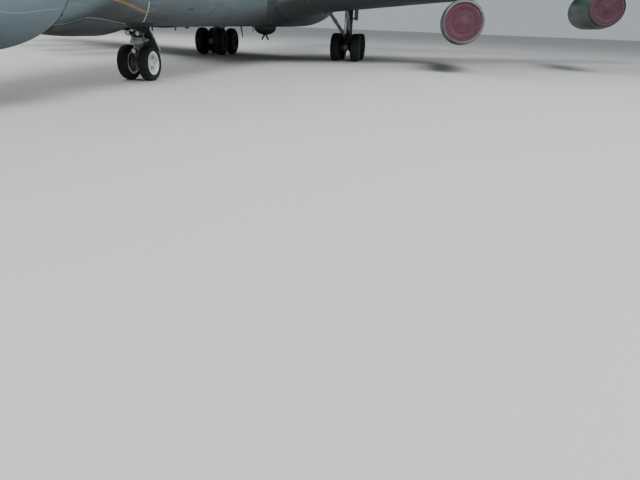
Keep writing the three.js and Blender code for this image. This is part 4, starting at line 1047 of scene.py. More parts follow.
def skin_pane(corners, out, count=64, rings=6, power=5.0):
    """A pane that follows the skin: rings of a squircle from its rim to its middle, lifted off
    the skin, closed below by the same rings sunk under it."""
    rim = squircle(count, power)
    shares = np.linspace(1, 1 / rings, rings)
    ring = lambda share, lift: skin(*on_quad(corners, rim * share).T, out=np.full(count, lift))
    top, bottom = [ring(share, out) for share in shares], [ring(share, -SINK) for share in shares[::-1]]
    middle = on_quad(corners, np.zeros((1, 2)))
    tips = [skin(*middle.T, out=np.array([lift]))[0] for lift in (-SINK, out)]
    return loft(bottom + top, tips)


def skin_seal(corners, width, out=0.002, count=96, power=7.0):
    """The outline of a door or hatch: a thin ring on the skin, width metres across."""
    corners = np.asarray(corners, float)
    rim = squircle(count, power)
    outer = on_quad(corners, rim)
    middle = on_quad(corners, np.zeros((1, 2)))
    spot = skin(*outer.T) - skin(*middle.T)
    share = 1 - width / np.linalg.norm(spot, axis=1, keepdims=True)
    inner = middle + (outer - middle) * share
    lines = [(outer, -SINK), (outer, out), (inner, out), (inner, -SINK)]
    return ring_loft([skin(*line.T, out=np.full(count, lift)) for line, lift in lines])


def skin_strip(path, width, out=0.003):
    """A painted or glued line along (station, angle) points, this wide and just proud of the skin."""
    path = np.asarray(path, float)
    centre, normal = skin(*path.T), skin_normal(*path.T)
    along = np.gradient(centre, axis=0)
    side = np.cross(normal, along)
    side /= np.linalg.norm(side, axis=1, keepdims=True)
    corners = ((-1, -STRIP_SINK), (-1, out), (1, out), (1, -STRIP_SINK))
    return loft(np.stack([centre + s * width / 2 * side + lift * normal for s, lift in corners], axis=1))


def side_quad(y1, y2, z1, z2):
    """Corners of an upright door on the port side, from stations and heights."""
    return [(y, float(side_angle(y, z))) for y, z in ((y1, z1), (y2, z1), (y2, z2), (y1, z2))]


def belly_quad(y1, y2, x1, x2):
    return [(y, float(belly_angle(y, x))) for y, x in ((y1, x1), (y2, x1), (y2, x2), (y1, x2))]


print("a pane has", len(skin_pane(side_quad(2.0, 2.3, 3.9, 4.2), 0.004).points), "points")

# %% [markdown]
# The cockpit has four raked panes a side under a pair of small upper ones. The cabin has only a
# few windows, as on an aircraft that carries equipment.

# %% Windows and doors
# Cockpit panes. Columns: four corners, each a station and degrees from the crown.
COCKPIT_PANES = [
    ((-2.78, 3), (-2.62, 34), (-2.12, 28), (-2.2, 3)),
    ((-2.6, 37), (-2.34, 55), (-1.96, 47), (-2.09, 31)),
    ((-2.26, 57), (-1.72, 60), (-1.62, 48.5), (-1.87, 49)),
    ((-1.61, 60), (-1.25, 60.5), (-1.24, 50.5), (-1.51, 49)),
    ((-1.98, 6), (-1.93, 18), (-1.68, 17), (-1.72, 6)),
    ((-1.92, 20), (-1.84, 31), (-1.63, 29), (-1.67, 19)),
]
# Doors and hatches on both sides. Columns: fore and aft station, bottom and top height.
SIDE_DOORS = [(0.35, 1.2, 2.78, 4.62), (25.2, 25.95, 3.3, 4.86), (13.1, 13.62, 3.62, 4.6)]
PORT_DOORS = [(3.3, 6.1, 2.95, 4.95)]
CABIN_WINDOWS = [1.75, 8.6, 13.36, 16.3, 22.4]
WINDOW_HEIGHT = 4.03
# Belly hatches. Columns: fore and aft station, inner and outer x.
BELLY_HATCHES = [(2.75, 3.55, -0.33, 0.33), (4.6, 5.2, 0.25, 0.75), (5.9, 6.5, -0.3, 0.3),
                 (17.6, 18.5, -0.4, 0.4), (19.6, 20.1, 0.2, 0.6)]


def window_quad(y, half_length, half_height):
    return side_quad(y - half_length, y + half_length, WINDOW_HEIGHT - half_height,
                     WINDOW_HEIGHT + half_height)


panes = [[(y, math.radians(degrees)) for y, degrees in corners] for corners in COCKPIT_PANES]
glass = [skin_pane(corners, 0.006) for corners in panes]
glass += [skin_pane(window_quad(y, 0.13, 0.17), 0.004, 40, 4, power=3.2) for y in CABIN_WINDOWS]
frames = [skin_seal(corners, 0.045, 0.012, power=5.0) for corners in panes]
frames += [skin_seal(window_quad(y, 0.16, 0.2), 0.03, 0.007, 48, power=3.2) for y in CABIN_WINDOWS]
seals = [skin_seal(side_quad(*row), 0.018) for row in SIDE_DOORS]
port_seals = [skin_seal(side_quad(*row), 0.018) for row in PORT_DOORS]
belly_seals = [skin_seal(belly_quad(*row), 0.014) for row in BELLY_HATCHES]

make_piece("cockpit_and_cabin_glass", both(glass), [window_glass], sharp=40)
dark_piece("window_frames", both(frames), [pylon_paint], sharp=30)
dark_piece("door_and_hatch_seals", both(seals) + port_seals + belly_seals, [sealant], sharp=30)

# %% [markdown]
# ## Fuselage
# The barrel carries the wing's centre section, a fillet where the wing meets it, and the fairing
# that the fin stands on. The nose wheel bay is cut into the keel as a pocket with a roof. The
# fillet is the wing's own rib, thickened towards the body along a hollow curve.

# %% Fuselage with its bay
BAY_LOW, BAY_HIGH = (-0.46, -0.5, 1.0), (0.46, 1.42, 2.1)
FILLET = {"from": 1.45, "to": 2.5, "height": 0.2}
# The fin's fairing, from the foot up. Columns: height, reach ahead of the fin, thickness.
FIN_FAIRING = [(4.6, 0.95, 1.05), (5.3, 0.6, 0.92), (5.45, 0.38, 0.84), (5.58, 0.25, 0.8), (5.66, 0.2, 0.78)]
# A jack pad's profile: a flat ring round a shallow dish. Columns: radius, height.
PAD = [(0.06, 0.01), (0.05, 0.0), (0.03, 0.0), (0.03, 0.02), (0, 0.02)]


def grown_rib(rib, x, extra):
    """A rib carried to another x, longer by the extra at both ends and thicker by it all round."""
    shift = np.array([x - rib.lead[0], 0, 0])
    along = unit(rib.trail - rib.lead)
    return Rib(rib.lead + shift - extra * along, rib.trail + shift + 0.5 * extra * along,
               rib.depth + 2 * extra)


def fillet_rib(x):
    """The wing's rib, grown by a share that falls with the square of the distance from the body."""
    left = 1 - (x - FILLET["from"]) / (FILLET["to"] - FILLET["from"])
    return grown_rib(wing_rib(x), x, FILLET["height"] * left ** 2)


def jack_pad(at, height):
    """A round pad that stands this far up into the skin above it."""
    return turned([(PAD[0][0], height)] + PAD, at, UP, 40)


fillet = loft([rib_ring(fillet_rib(x), UP) for x in np.linspace(FILLET["from"], FILLET["to"], 16)])
centre_wing = loft([rib_ring(grown_rib(wing_rib(WING_ROOT), x, 0.0), UP)
                    for x in np.linspace(-WING_ROOT, WING_ROOT, 5)])
fin_fairing = loft([rib_ring(Rib(np.array([0, FIN_FOOT.lead[1] - ahead, z]), np.array([0, 33.65, z]), depth),
                             PORT) for z, ahead, depth in FIN_FAIRING])
make_piece("fuselage_skin", [barrel], [skin_paint, bay_primer], stands_for=["fuselage"], sharp=32,
           cutters=[finished(block(BAY_LOW, BAY_HIGH, 0.05), 1)])
make_piece("wing_roots_and_fin_fairing", [centre_wing, fin_fairing, fillet, mirrored(fillet)],
           [wing_paint], sharp=32)

# %% [markdown]
# Blade aerials hang from the keel. Each is a thin lens of fibreglass that narrows to its foot,
# with its width given by a sine round the section. A jack pad stands among them.

# %% Belly aerials
# Columns: x, front and back y at the keel, foot y, foot z.
BLADES = [(-0.35, 1.48, 1.68, 1.6, 1.18), (0, 2.2, 2.4, 2.32, 1.2), (0, 7.84, 8.08, 8.2, 0.95),
          (0, 9.36, 9.56, 9.5, 1.17)]
BLADE_ROOT_Z, BLADE_HALF_WIDTH, BLADE_HALF_CHORD = 1.5, 0.012, 0.036


def blade(middle, front, back, foot, tip):
    """A thin aerial: a lens section that narrows evenly from inside the keel to its foot."""
    part = np.linspace(0, 1, 8)[:, None]
    a = (1 - part) * [front, BLADE_ROOT_Z] + part * [foot - BLADE_HALF_CHORD, tip]
    b = (1 - part) * [back, BLADE_ROOT_Z] + part * [foot + BLADE_HALF_CHORD, tip]
    angle = np.arange(24) * 2 * np.pi / 24
    along = (1 - np.cos(angle)) / 2
    y = a[:, :1] + along * (b - a)[:, :1]
    z = a[:, 1:] + along * (b - a)[:, 1:]
    x = middle + BLADE_HALF_WIDTH * np.sin(angle) * np.ones_like(part)
    return loft(np.stack([x, y, z], axis=-1))


dark_piece("belly_aerials", [blade(*row) for row in BLADES] + [jack_pad((0, 3.1, 1.26), 0.25)],
           [belly_paint])

# %% [markdown]
# ## Radome
# The radome is a glass-fibre shell coated with dull neoprene against rain. It is an ellipsoid
# turned about a level axis. A low band with screws and two latches covers its joint, and a pale
# filled seam runs along each side.

# %% Radome shell
RADOME = {"y": -5.24, "z": 2.36, "radius": 1.5, "half_length": 2.16, "joint": -4.0}


def radome_point(y, angle, out=0.0):
    """A point of the radome at a station and an angle from its top."""
    y, angle = np.broadcast_arrays(np.asarray(y, float), np.asarray(angle, float))
    r = RADOME["radius"] * np.sqrt(np.clip(1 - ((y - RADOME["y"]) / RADOME["half_length"]) ** 2, 0, 1)) + out
    return np.stack([r * np.sin(angle), y, RADOME["z"] + r * np.cos(angle)], axis=-1)


nose_tip_y = RADOME["y"] - RADOME["half_length"]
opening = np.arccos((RADOME["y"] - RADOME["joint"] + 0.0006) / RADOME["half_length"])
turn = np.linspace(0, opening, 60)[1:]
radome_y = RADOME["y"] - RADOME["half_length"] * np.cos(turn)
radome_shell = loft(radome_point(radome_y[:, None], body_angle[None, :]),
                    ((0, nose_tip_y, RADOME["z"]), (0, radome_y[-1], RADOME["z"])))
make_piece("radome_shell", [radome_shell], [radome_paint], stands_for=["nose_radome"], slot="radome_paint")

# %% Joint ring, screws, latches and seams
RING_Y = -4.18
LATCH_ANGLE = math.radians(132)
SEAM_HALF_ANGLE = 0.006
# The filled seam, which climbs a little towards the body. Columns: station y, degrees from the top.
SEAM = np.array([[-7.25, 140.0], [-6.8, 130.0], [-6.2, 127.5], [-5.6, 126.6], [-5.26, 124.6],
                 [-4.88, 123.0], [-4.2, 124.6]])
# The band's section. Columns: distance along y, height above the shell.
BAND = [(-0.016, -0.01), (-0.013, 0.005), (0.013, 0.005), (0.016, -0.01)]

joint_ring = loft([radome_point(RING_Y + along, body_angle, out) for along, out in BAND])
ring_middle = np.array([0, RING_Y, RADOME["z"]])
screws = [bar(p - 0.004 * unit(p - ring_middle), p + 0.005 * unit(p - ring_middle), 0.012, segments=8)
          for p in radome_point(RING_Y, np.arange(72) * 2 * np.pi / 72, 0.004)]
latches = [bar(p, p + 0.012 * unit(p - ring_middle), 0.035, segments=24)
           for p in radome_point(RING_Y, np.array([-LATCH_ANGLE, LATCH_ANGLE]))]
seam_y = np.linspace(SEAM[0, 0], SEAM[-1, 0], 60)
seam_angle = np.radians(smooth_table(SEAM, seam_y)[:, 0])
seam = loft(np.stack([radome_point(seam_y, seam_angle + side * SEAM_HALF_ANGLE, out) for side, out in
                      ((-1, -0.006), (-1, 0.004), (1, 0.004), (1, -0.006))], axis=1))
dark_piece("radome_joint_ring", [joint_ring] + screws + latches, [sealant])
make_piece("radome_side_seams", [seam, mirrored(seam)], [seam_filler], slot="radome_paint")

# %% [markdown]
# ## Chin fairing
# A shallow dark blister lies under the nose. Each section below its rim is a quarter ellipse on
# either side. A pale strip along its upper edge is a painted highlight, and ahead of it, on each
# side, a near-black pane of the blister's own surface is painted shade behind the radome.

# %% Chin blister and its painted highlight
# Columns: station y, height of the rim on the skin, height of the bottom.
CHIN_STATIONS = np.array([
    [-3.97, 1.29, 1.18], [-3.45, 1.33, 1.12], [-3.1, 1.46, 1.095], [-2.58, 1.44, 1.08],
    [-1.92, 1.39, 1.08], [-1.6, 1.37, 1.11], [-1.27, 1.34, 1.18], [-0.95, 1.29, 1.262]])
CHIN_ROOF = 0.08       # how far the blister's hidden roof stands above its rim


def chin_surface(y, angle, out=0.0):
    """A point of the blister at a station and an angle from its bottom: the sine carries it out to
    the rim's half width, and the cosine down to the bottom, or up to the roof past a quarter turn."""
    rim, bottom = (smooth_table(CHIN_STATIONS, y)[:, i:i + 1] for i in (0, 1))
    half = skin(y, side_angle(y, rim[:, 0]))[:, :1]
    down = np.where(np.cos(angle) > 0, rim - bottom + out, CHIN_ROOF)
    return np.stack([(half + out) * np.sin(angle), y[:, None] * np.ones_like(angle),
                     rim - np.cos(angle) * down], axis=-1)


chin_y = np.linspace(-3.97, -0.95, 90)
around = np.linspace(0, 2 * np.pi, 72, endpoint=False)[None, :]
rim_path = np.stack([chin_y, side_angle(chin_y, smooth_table(CHIN_STATIONS, chin_y)[:, 0])], axis=-1)
# A pale strip along the rim: a painted highlight on the blister's upper edge.
lip = skin_strip(rim_path[8:-16], 0.022, 0.008)
dark_piece("chin_blister", [loft(chin_surface(chin_y, around))],
           [belly_paint], stands_for=["chin_fairing"])
dark_piece("chin_seal", both([lip]), [seam_filler])

# %% Painted shade behind the radome
SHADE_START, SHADE_TURN, SHADE_HALF_WIDTH = 44, 28, 13       # degrees from the blister's bottom
shade_y, part = np.linspace(-3.95, -3.64, 24), np.linspace(0, 1, 24)[:, None]
shade_edge = SHADE_HALF_WIDTH * np.sin(np.pi * part) ** 0.7 * [-1, 1]
shade_angle = np.radians(SHADE_START + SHADE_TURN * part + shade_edge)
shade_pane = loft(np.concatenate([chin_surface(shade_y, shade_angle, 0.004),
                                  chin_surface(shade_y, shade_angle[:, ::-1], -0.01)], axis=1))
dark_piece("chin_drain_slots", both([shade_pane]), [shade_black])

# %% [markdown]
# ## Belly dome
# The dome is a dark bowl under the keel with a band round its rim and a forked pair of fins below
# it. A bowl is a quarter ellipse on the lathe, and a fin is a plate set on its edge.

# %% Belly dome
DOME = {"y": 11.18, "radius": 0.485, "top": 1.62, "rim": 1.36, "bottom": 1.04}
bowl_line = [(DOME["radius"] * math.sin(a), DOME["rim"] - (DOME["rim"] - DOME["bottom"]) * math.cos(a))
             for a in np.linspace(0, np.pi / 2, 24)]
bowl_line += [(DOME["radius"], DOME["top"]), (0, DOME["top"])]
bowl = turned(bowl_line, (0, DOME["y"], 0), UP, 72)
dome_band = turned([(0.48, 1.352), (0.492, 1.355), (0.492, 1.372), (0.48, 1.376)], (0, DOME["y"], 0), UP, 72,
                   closed=True)
fork_outline = np.array([(-0.2, -0.06), (-0.2, 0.05), (-0.02, 0.1), (0.14, 0.06), (0.14, -0.05),
                         (-0.02, -0.1)])
forks = [plate(fork_outline, 0.036, (side * 0.085, DOME["y"], 0.955), (side * 0.16, 0, -0.3), (0, 1, 0))
         for side in (-1, 1)]
dark_piece("belly_bowl_and_forks", [bowl, dome_band] + forks, [belly_paint], stands_for=["belly_dome"])

# %% [markdown]
# ## Painted marks and small fittings
# A line painted along the skin is a strip that follows it, a few millimetres proud so that it
# doesn't flicker. The ochre and white ones are markings. The dark ones are seams, and the
# longest is a painted shadow edge, where the wing's shade begins.

# %% Marks on the skin
degrees_path = lambda rows: [(y, math.radians(a)) for y, a in smooth_path(rows, 10)]
# Each line is its width and its corners, each a station and degrees from the crown.
OCHRE_LINES = [
    (0.055, [(-3.6, 121), (-2.9, 125.5), (-2.22, 132.3), (-1.65, 138.6), (-1.24, 142.7)]),
    (0.05, [(-1.24, 142.7), (-1.18, 140.2), (-1.12, 137.5)]),
    (0.03, [(-1.2, 119), (-1.1, 125), (-1.0, 130.7), (-0.89, 136.6)])]
WHITE_LINES = [(0.032, [(-1.6, 127.5), (-1.485, 132.3), (-1.34, 139), (-1.14, 147.4), (-0.89, 156.1)])]
DARK_LINES = [
    (0.035, [(0.58, 138.8), (0.72, 139.3), (0.88, 139)]),
    (0.016, [(2.24, 131.5), (2.22, 138), (2.2, 145)]),
    # Painted shadow edge: where the wing's shade begins on the skin.
    (0.03, [(6.3, 118), (6.5, 124.5), (7.3, 136), (8.5, 151), (9.7, 163.3)])]

strips = lambda rows: [skin_strip(degrees_path(corners), width) for width, corners in rows]
green = skin_pane(side_quad(-1.66, -1.36, 1.84, 1.95), 0.004, 48, 4, power=6.0)
make_piece("ochre_lines", both(strips(OCHRE_LINES)), [ochre_paint], slot="grey_paint")
make_piece("white_lines", both(strips(WHITE_LINES)), [white_paint], slot="rim_white")
make_piece("green_patches", both([green]), [green_paint], slot="grey_paint")
dark_piece("dark_skin_marks", both(strips(DARK_LINES)), [sealant])

# %% [markdown]
# ## Wing-root fairing
# Where wing and body meet, a skin lies just proud of the belly, painted darker as the wing's
# shadow. Each of its lines runs aft to an edge that sweeps back by a quarter sine. Near-black
# plates on the sides of the wheel bay are painted shade.

# %% Root fairing and painted shade by the bay
# The front edge. Columns: degrees from the crown, station.
ROOT_FRONT = np.array([(100, 9.4), (103, 8.0), (107, 7.1), (113, 6.5), (120, 6.25), (124, 6.42),
                       (135, 7.1), (152, 8.4), (163, 9.5), (180, 10.3)])
REAR_AT_WING, REAR_SWEEP = 16.4, 3.2
fairing_degrees = np.linspace(ROOT_FRONT[0, 0], ROOT_FRONT[-1, 0], 60)
front_y = smooth_table(ROOT_FRONT, fairing_degrees)[:, :1]
rear_y = REAR_AT_WING + REAR_SWEEP * np.sin(np.linspace(0, np.pi / 2, 60))[:, None]
fairing_y = front_y + (rear_y - front_y) * np.linspace(0, 1, 90) ** 1.3
top_side, under_side = (skin(fairing_y, np.radians(fairing_degrees)[:, None], np.full(fairing_y.shape, lift))
                        for lift in (0.006, -0.01))
fairing = loft(np.concatenate([top_side, under_side[:, ::-1]], axis=1))
make_piece("wing_root_fairing", both([fairing]), [root_shadow_paint], sharp=40)
bay_shade = skin_pane(belly_quad(-1.42, -0.1, 0.4, 0.69), 0.004, power=3.0)
dark_piece("bay_sill_plates", both([bay_shade]), [shade_black])

# %% [markdown]
# ## Small fittings
# Around the nose sit the small things that every airliner carries: probes bent from tube, and
# wipers. Blade aerials stand along the back, and each lamp is a quarter ellipse of tinted glass.

# %% Small fittings
skin_at = lambda y, degrees, out=0.0: skin(np.array([y]), np.radians([degrees]), np.array([out]))[0]
# Wipers: an arm and a blade. Columns: radius, then station, degrees and lift of three points.
WIPERS = [(0.009, [(-2.66, 10, 0.005), (-2.6, 13, 0.03), (-2.3, 20, 0.022)]),
          (0.011, [(-2.5, 14, 0.02), (-2.32, 20, 0.017), (-2.14, 25, 0.02)])]
PROBES = [(-3.35, 78.0), (-3.1, 84.0)]           # station and degrees
BACK_AERIALS_Y = (1.4, 4.6, 12.2, 19.3)
BACK_AERIAL = np.array([(-0.2, 0.0), (-0.06, 0.3), (0.12, 0.34), (0.2, 0.02), (0.2, -0.08), (-0.2, -0.08)])


def probe(y, degrees):
    """A tube that stands off the skin and bends forward, on a round foot."""
    foot, knee = skin_at(y, degrees, -0.02), skin_at(y, degrees, 0.13)
    return [tube(smooth_path([foot, knee, knee + [0.02, -0.12, 0], knee + [0.02, -0.3, 0]]), 0.013),
            bar(skin_at(y, degrees, -0.01), skin_at(y, degrees, 0.008), 0.045)]


def dome(at, axis, radius, height):
    """A low lamp glass: a quarter ellipse turned about its axis."""
    curve = [(radius * math.cos(a), height * math.sin(a)) for a in np.linspace(0, np.pi / 2, 10)[:-1]]
    return turned([(radius, -0.02)] + curve + [(0, height)], at, axis, 32)


probes = [shape for row in PROBES for shape in probe(*row)]
wipers = [tube(smooth_path([skin_at(*p) for p in points]), radius) for radius, points in WIPERS]
back_fins = [plate(BACK_AERIAL, 0.02, skin_at(y, 0), AFT, UP, chamfer=0.4) for y in BACK_AERIALS_Y]
wing_lamp = dome(wing_rib(19.3).lead + [0, 0.02, 0], (0.5, -1, 0), 0.05, 0.08)
gear_piece("nose_probes", both(probes), [bare_steel])
make_piece("screen_wipers", both(wipers), [black_rubber], slot="tyre")
dark_piece("back_aerials", back_fins, [pylon_paint])
make_piece("beacon", [dome(skin_at(9.2, 0), UP, 0.11, 0.14)], [red_lamp], slot="cover_cloth_red")
make_piece("port_wing_lamp", [wing_lamp], [red_lamp], slot="cover_cloth_red")
make_piece("starboard_wing_lamp", [mirrored(wing_lamp)], [green_lamp], slot="grey_paint")

# %% [markdown]
# ## Wing, fin and tail pieces
# Each parent is lofted whole, then the coves and recesses come out of it, and the pins go in. The
# panels ride on their own bodies. Both sides come from one mesh.

# %% Wings and their surfaces
wing_coves, wing_pins = [], []
cut_parts = [(name, control_surface(wing_rib, start, stop, fraction, math.radians(travel), 2.6, UP))
             for name, start, stop, fraction, travel in WING_SURFACES]
cut_parts += [(name, spoiler(*row)) for name, *row in SPOILERS]
for name, (panel, cove, pins) in cut_parts:
    wing_coves.append(finished(cove, 1))
    wing_pins += pins
    make_pair(name + "_panel", [panel], [wing_paint], (name + "_left", name + "_right"), [name], sharp=30)
wing_shape = surface_loft(MASTER_RIBS, PORT, UP, 12)
make_pair("wing_skin", [wing_shape], [wing_paint, bay_primer], stands_for=["wing"], sharp=30,
          cutters=wing_coves)
wing_pins.append(jack_pad((2.75, 11.2, 1.98), 0.3))
gear_pair("wing_hinge_pins_and_pads", wing_pins, [bare_steel])

# %% Fin and rudder
TAIL_TRAVEL = math.radians(25)
rudder, rudder_cove, rudder_pins = control_surface(fin_rib, 6.35, 12.0, 0.7, TAIL_TRAVEL, 2.8, PORT)
fin_shape = surface_loft([FIN_FOOT, fin_rib(FIN_TOP - TIP_DEPTH)], UP, PORT, 12)
make_piece("fin_skin", [fin_shape], [fin_paint, bay_primer], stands_for=["fin"], sharp=30,
           cutters=[finished(rudder_cove, 1)])
make_piece("rudder_panel", [rudder], [fin_paint], "rudder", ["rudder"], sharp=30)
gear_piece("rudder_pins", rudder_pins, [bare_steel])

# %% Tailplane and elevators
# The root is cut at an angle, so that it clears the body's taper as the tailplane trims.
elevator, elevator_cove, elevator_pins = control_surface(tail_rib, 1.2, 5.55, 0.7, TAIL_TRAVEL, 1.7, UP)
tail_root = plate([(0, 28.0), (1.42, 28.0), (0.42, 34.9), (0, 34.9)], 2.0, TAIL_Z * UP, PORT, AFT, 0)
tail_shape = surface_loft([tail_rib(TAIL_ROOT_X), tail_rib(TAIL_TIP_X - TIP_DEPTH)], PORT, UP, 10)
make_pair("tailplane_skin", [tail_shape], [wing_paint, bay_primer], ("tailplane", "tailplane"), ["tailplane"],
          sharp=30, cutters=[finished(tail_root, 1), finished(elevator_cove, 1)])
make_pair("elevator_panel", [elevator], [wing_paint], ("elevator_left", "elevator_right"), ["elevator"],
          sharp=30)
PIVOT_Y, PIVOT_RADIUS, PIVOT_SPLIT = 32.35, 0.12, 0.75
pivot_at = lambda x: (x, PIVOT_Y, tail_height(PIVOT_SPLIT))
tail_pivot = bar(pivot_at(PIVOT_SPLIT), pivot_at(1.05), PIVOT_RADIUS)
body_pivot = bar(pivot_at(0.001 - PIVOT_SPLIT), pivot_at(PIVOT_SPLIT - 0.001), PIVOT_RADIUS)
gear_pair("elevator_pins_and_tail_pivot", elevator_pins + [tail_pivot], [bare_steel],
          ("tailplane", "tailplane"))
gear_piece("tail_pivot_in_body", [body_pivot], [bare_steel])

# %% [markdown]
# ## Engines
# A nacelle is a lathe profile: a rounded lip, a short intake with the plug in it, a long parallel
# cowl, and a tapering tailpipe with a centre body. The inboard lips are bare metal gone dull, and
# the outboard ones take the pylons' dark paint as painted shade. The pylon is a loft of slim
# sections that runs from the cowl's shoulder up over the wing's leading edge.

# %% Nacelle and pylon shapes
# Columns: name, x, intake y, axis height, finish of the lip, finish of the plug.
# The outboard engine's dark lip and darker plug are painted shade.
ENGINES = [("inboard", 8.3, 8.16, 1.81, lip_metal, cover_red),
           ("outboard", 14.2, 12.77, 2.6, pylon_paint, shaded_red)]
NACELLE_LENGTH, INTAKE_RADIUS, INTAKE_DEPTH, COVER_DEPTH = 5.6, 0.65, 0.34, 0.29
PYLON_HALF_WIDTH = 0.19
# The pylon's half width. Columns: part of its length, part of the half width.
PYLON_PLAN = np.array([(0, 0.25), (0.04, 0.7), (0.14, 1), (0.6, 1), (1, 0.2)])
# Bands round the cowl. Columns: radius under it, distance from the intake, width, height.
COWL_BANDS = [(0.8, 1.05, 0.035, 0.004), (0.804, 2.2, 0.03, 0.004), (0.796, 3.34, 0.035, 0.005),
              (0.62, 4.42, 0.04, 0.006)]
# Outer line of the cowl. Columns: part of the length, radius.
COWL_LINE = np.array([(0.016, 0.692), (0.03, 0.72), (0.07, 0.757), (0.16, 0.8), (0.4, 0.805), (0.6, 0.8),
                      (0.68, 0.762), (0.74, 0.7), (0.81, 0.6), (0.88, 0.5), (0.95, 0.415), (0.97, 0.395)])


def lip_profile():
    """The lip is half an ellipse from the intake wall out to the cowl."""
    angle = np.linspace(-np.pi / 2, np.pi / 2, 20)
    middle = (COWL_LINE[0, 1] + INTAKE_RADIUS) / 2
    half = (COWL_LINE[0, 1] - INTAKE_RADIUS) / 2
    return [(middle + half * math.sin(a), 0.016 * NACELLE_LENGTH * (1 - math.cos(a))) for a in angle]


def pylon_shape(x, inlet_y, axis_z):
    """Upright lens sections from nose to tail: the width comes from the plan, and the top and
    bottom from the side outline."""
    rib = wing_rib(x)
    on_wing = lambda part, up: ((1 - part) * rib.lead + part * rib.trail)[1:] + [0, up]
    from_inlet = lambda aft, up: np.array([inlet_y + aft, axis_z + up])
    top = np.array([from_inlet(1.1, 0.4), from_inlet(1.3, 0.85), from_inlet(2.6, 1.28),
                    on_wing(-0.03, 0.1), on_wing(0.04, 0.04), on_wing(0.55, 0.0)])
    bottom = np.array([from_inlet(1.1, 0.4), from_inlet(5.43, 0.3), on_wing(0.55, -0.4)])
    nose, tail = top[0, 0], top[-1, 0]
    y = nose + (tail - nose) * np.linspace(0, 1, 60) ** 1.3
    high, low = np.interp(y, *top.T), np.interp(y, *bottom.T)
    half = np.interp((y - nose) / (tail - nose), *PYLON_PLAN.T) * PYLON_HALF_WIDTH
    angle = np.arange(40) * 2 * np.pi / 40
    c, s = np.cos(angle), np.sin(angle)
    across, up = np.sign(c) * np.abs(c) ** 0.6, np.sign(s) * np.abs(s) ** 0.3
    middle, reach = (high + low) / 2, np.maximum((high - low) / 2, 0.01)
    return loft(np.stack([x + half[:, None] * across, y[:, None] * np.ones(40),
                          middle[:, None] + reach[:, None] * up], axis=-1))


def ring_band(radius, along, width, height, inlet):
    """A low band round the cowl: where two of its panels meet, or a row of latches sits."""
    profile = [(radius - 0.01, along), (radius + height, along + 0.2 * width),
               (radius + height, along + 0.8 * width), (radius - 0.01, along + width)]
    return turned(profile, inlet, AFT, 72, closed=True)


print("lip:", len(lip_profile()), "points round its half ellipse")

# %% Nacelles and pylons
COWL = [(radius, part * NACELLE_LENGTH) for part, radius in COWL_LINE]
LIP = [(INTAKE_RADIUS, INTAKE_DEPTH)] + lip_profile() + [
    COWL[1], (COWL[1][0] - 0.02, COWL[1][1] + 0.01), (INTAKE_RADIUS + 0.01, INTAKE_DEPTH)]
COWL_END = 0.97 * NACELLE_LENGTH
COWL_BODY = [(0, INTAKE_DEPTH), (COWL[1][0] - 0.03, INTAKE_DEPTH)] + COWL[1:]
COWL_BODY += [(0.33, COWL_END), (0, COWL_END)]
# The tailpipe and the centre body in it. Columns: radius, part of the nacelle's length.
PIPE = np.array([(0.34, 0.95), (0.39, 0.955), (0.37, 1), (0.345, 1), (0.33, 0.95)]) * [1, NACELLE_LENGTH]
CENTRE_BODY = np.array([(0.16, 0.93), (0.15, 0.96), (0.1, 1), (0, 1.02)]) * [1, NACELLE_LENGTH]

for name, x, inlet_y, axis_z, lip_finish, _ in ENGINES:
    inlet = np.array([x, inlet_y, axis_z])
    pipe, centre_body = turned(PIPE, inlet, AFT, 72, closed=True), turned(CENTRE_BODY, inlet, AFT, 48)
    bands = [ring_band(*row, inlet) for row in COWL_BANDS]
    make_pair(f"cowl_{name}", [turned(COWL_BODY, inlet, AFT, 96)], [cowl_paint],
              stands_for=[f"nacelle_{name}"], slot="cowl_paint")
    make_pair(f"intake_lip_{name}", [turned(LIP, inlet, AFT, 96, closed=True)], [lip_finish],
              slot="cowl_paint")
    dark_pair(f"cowl_bands_{name}", bands, [pylon_paint])
    gear_pair(f"tailpipe_{name}", [pipe, centre_body], [exhaust_steel])
    dark_pair(f"pylon_skin_{name}", [pylon_shape(x, inlet_y, axis_z)], [pylon_paint],
              stands_for=[f"pylon_{name}"])

# %% [markdown]
# The plug is a round board with stepped rings, painted red, that keeps birds and rain out. The
# outboard ones are painted darker as painted shade, and the paler edge is a piece of its own.

# %% Intake plugs
RIM = INTAKE_DEPTH - COVER_DEPTH
PLUG_RADIUS, PLUG_BACK = INTAKE_RADIUS - 0.002, INTAKE_DEPTH - 0.002
# Columns: radius, distance behind the plug's rim plane.
PLUG_STEPS = [(0, -0.02), (0.12, -0.02), (0.13, -0.014), (0.23, -0.012), (0.24, -0.002), (0.36, 0),
              (0.37, 0.008), (0.47, 0.008), (0.48, 0.002), (0.6, 0), (PLUG_RADIUS, 0.02)]
PLUG_EDGE = [(0.6, -0.004), (0.63, -0.006), (PLUG_RADIUS, 0.006), (PLUG_RADIUS, 0.03), (0.6, 0.01)]
board = [(r, RIM + back) for r, back in PLUG_STEPS] + [(PLUG_RADIUS, PLUG_BACK), (0, PLUG_BACK)]
board_edge = [(r, RIM + back) for r, back in PLUG_EDGE]

for name, x, inlet_y, axis_z, _, plug_finish in ENGINES:
    inlet = np.array([x, inlet_y, axis_z])
    make_pair(f"intake_plug_{name}", [turned(board, inlet, AFT, 96)], [plug_finish],
              stands_for=[f"inlet_cover_{name}"], slot="cover_cloth_red")
    make_pair(f"intake_plug_edge_{name}", [turned(board_edge, inlet, AFT, 96, closed=True)], [cover_rim],
              slot="cover_cloth_red")

# %% [markdown]
# ## Wheels and tyres
# A tyre's section is a smooth curve from bead to crown with the grooves pressed into the tread,
# turned about the axle. The wheel in it is a barrel with a flange each side and a dished web with
# lightening holes and a ring of tie bolts, all given as parts of the rim.

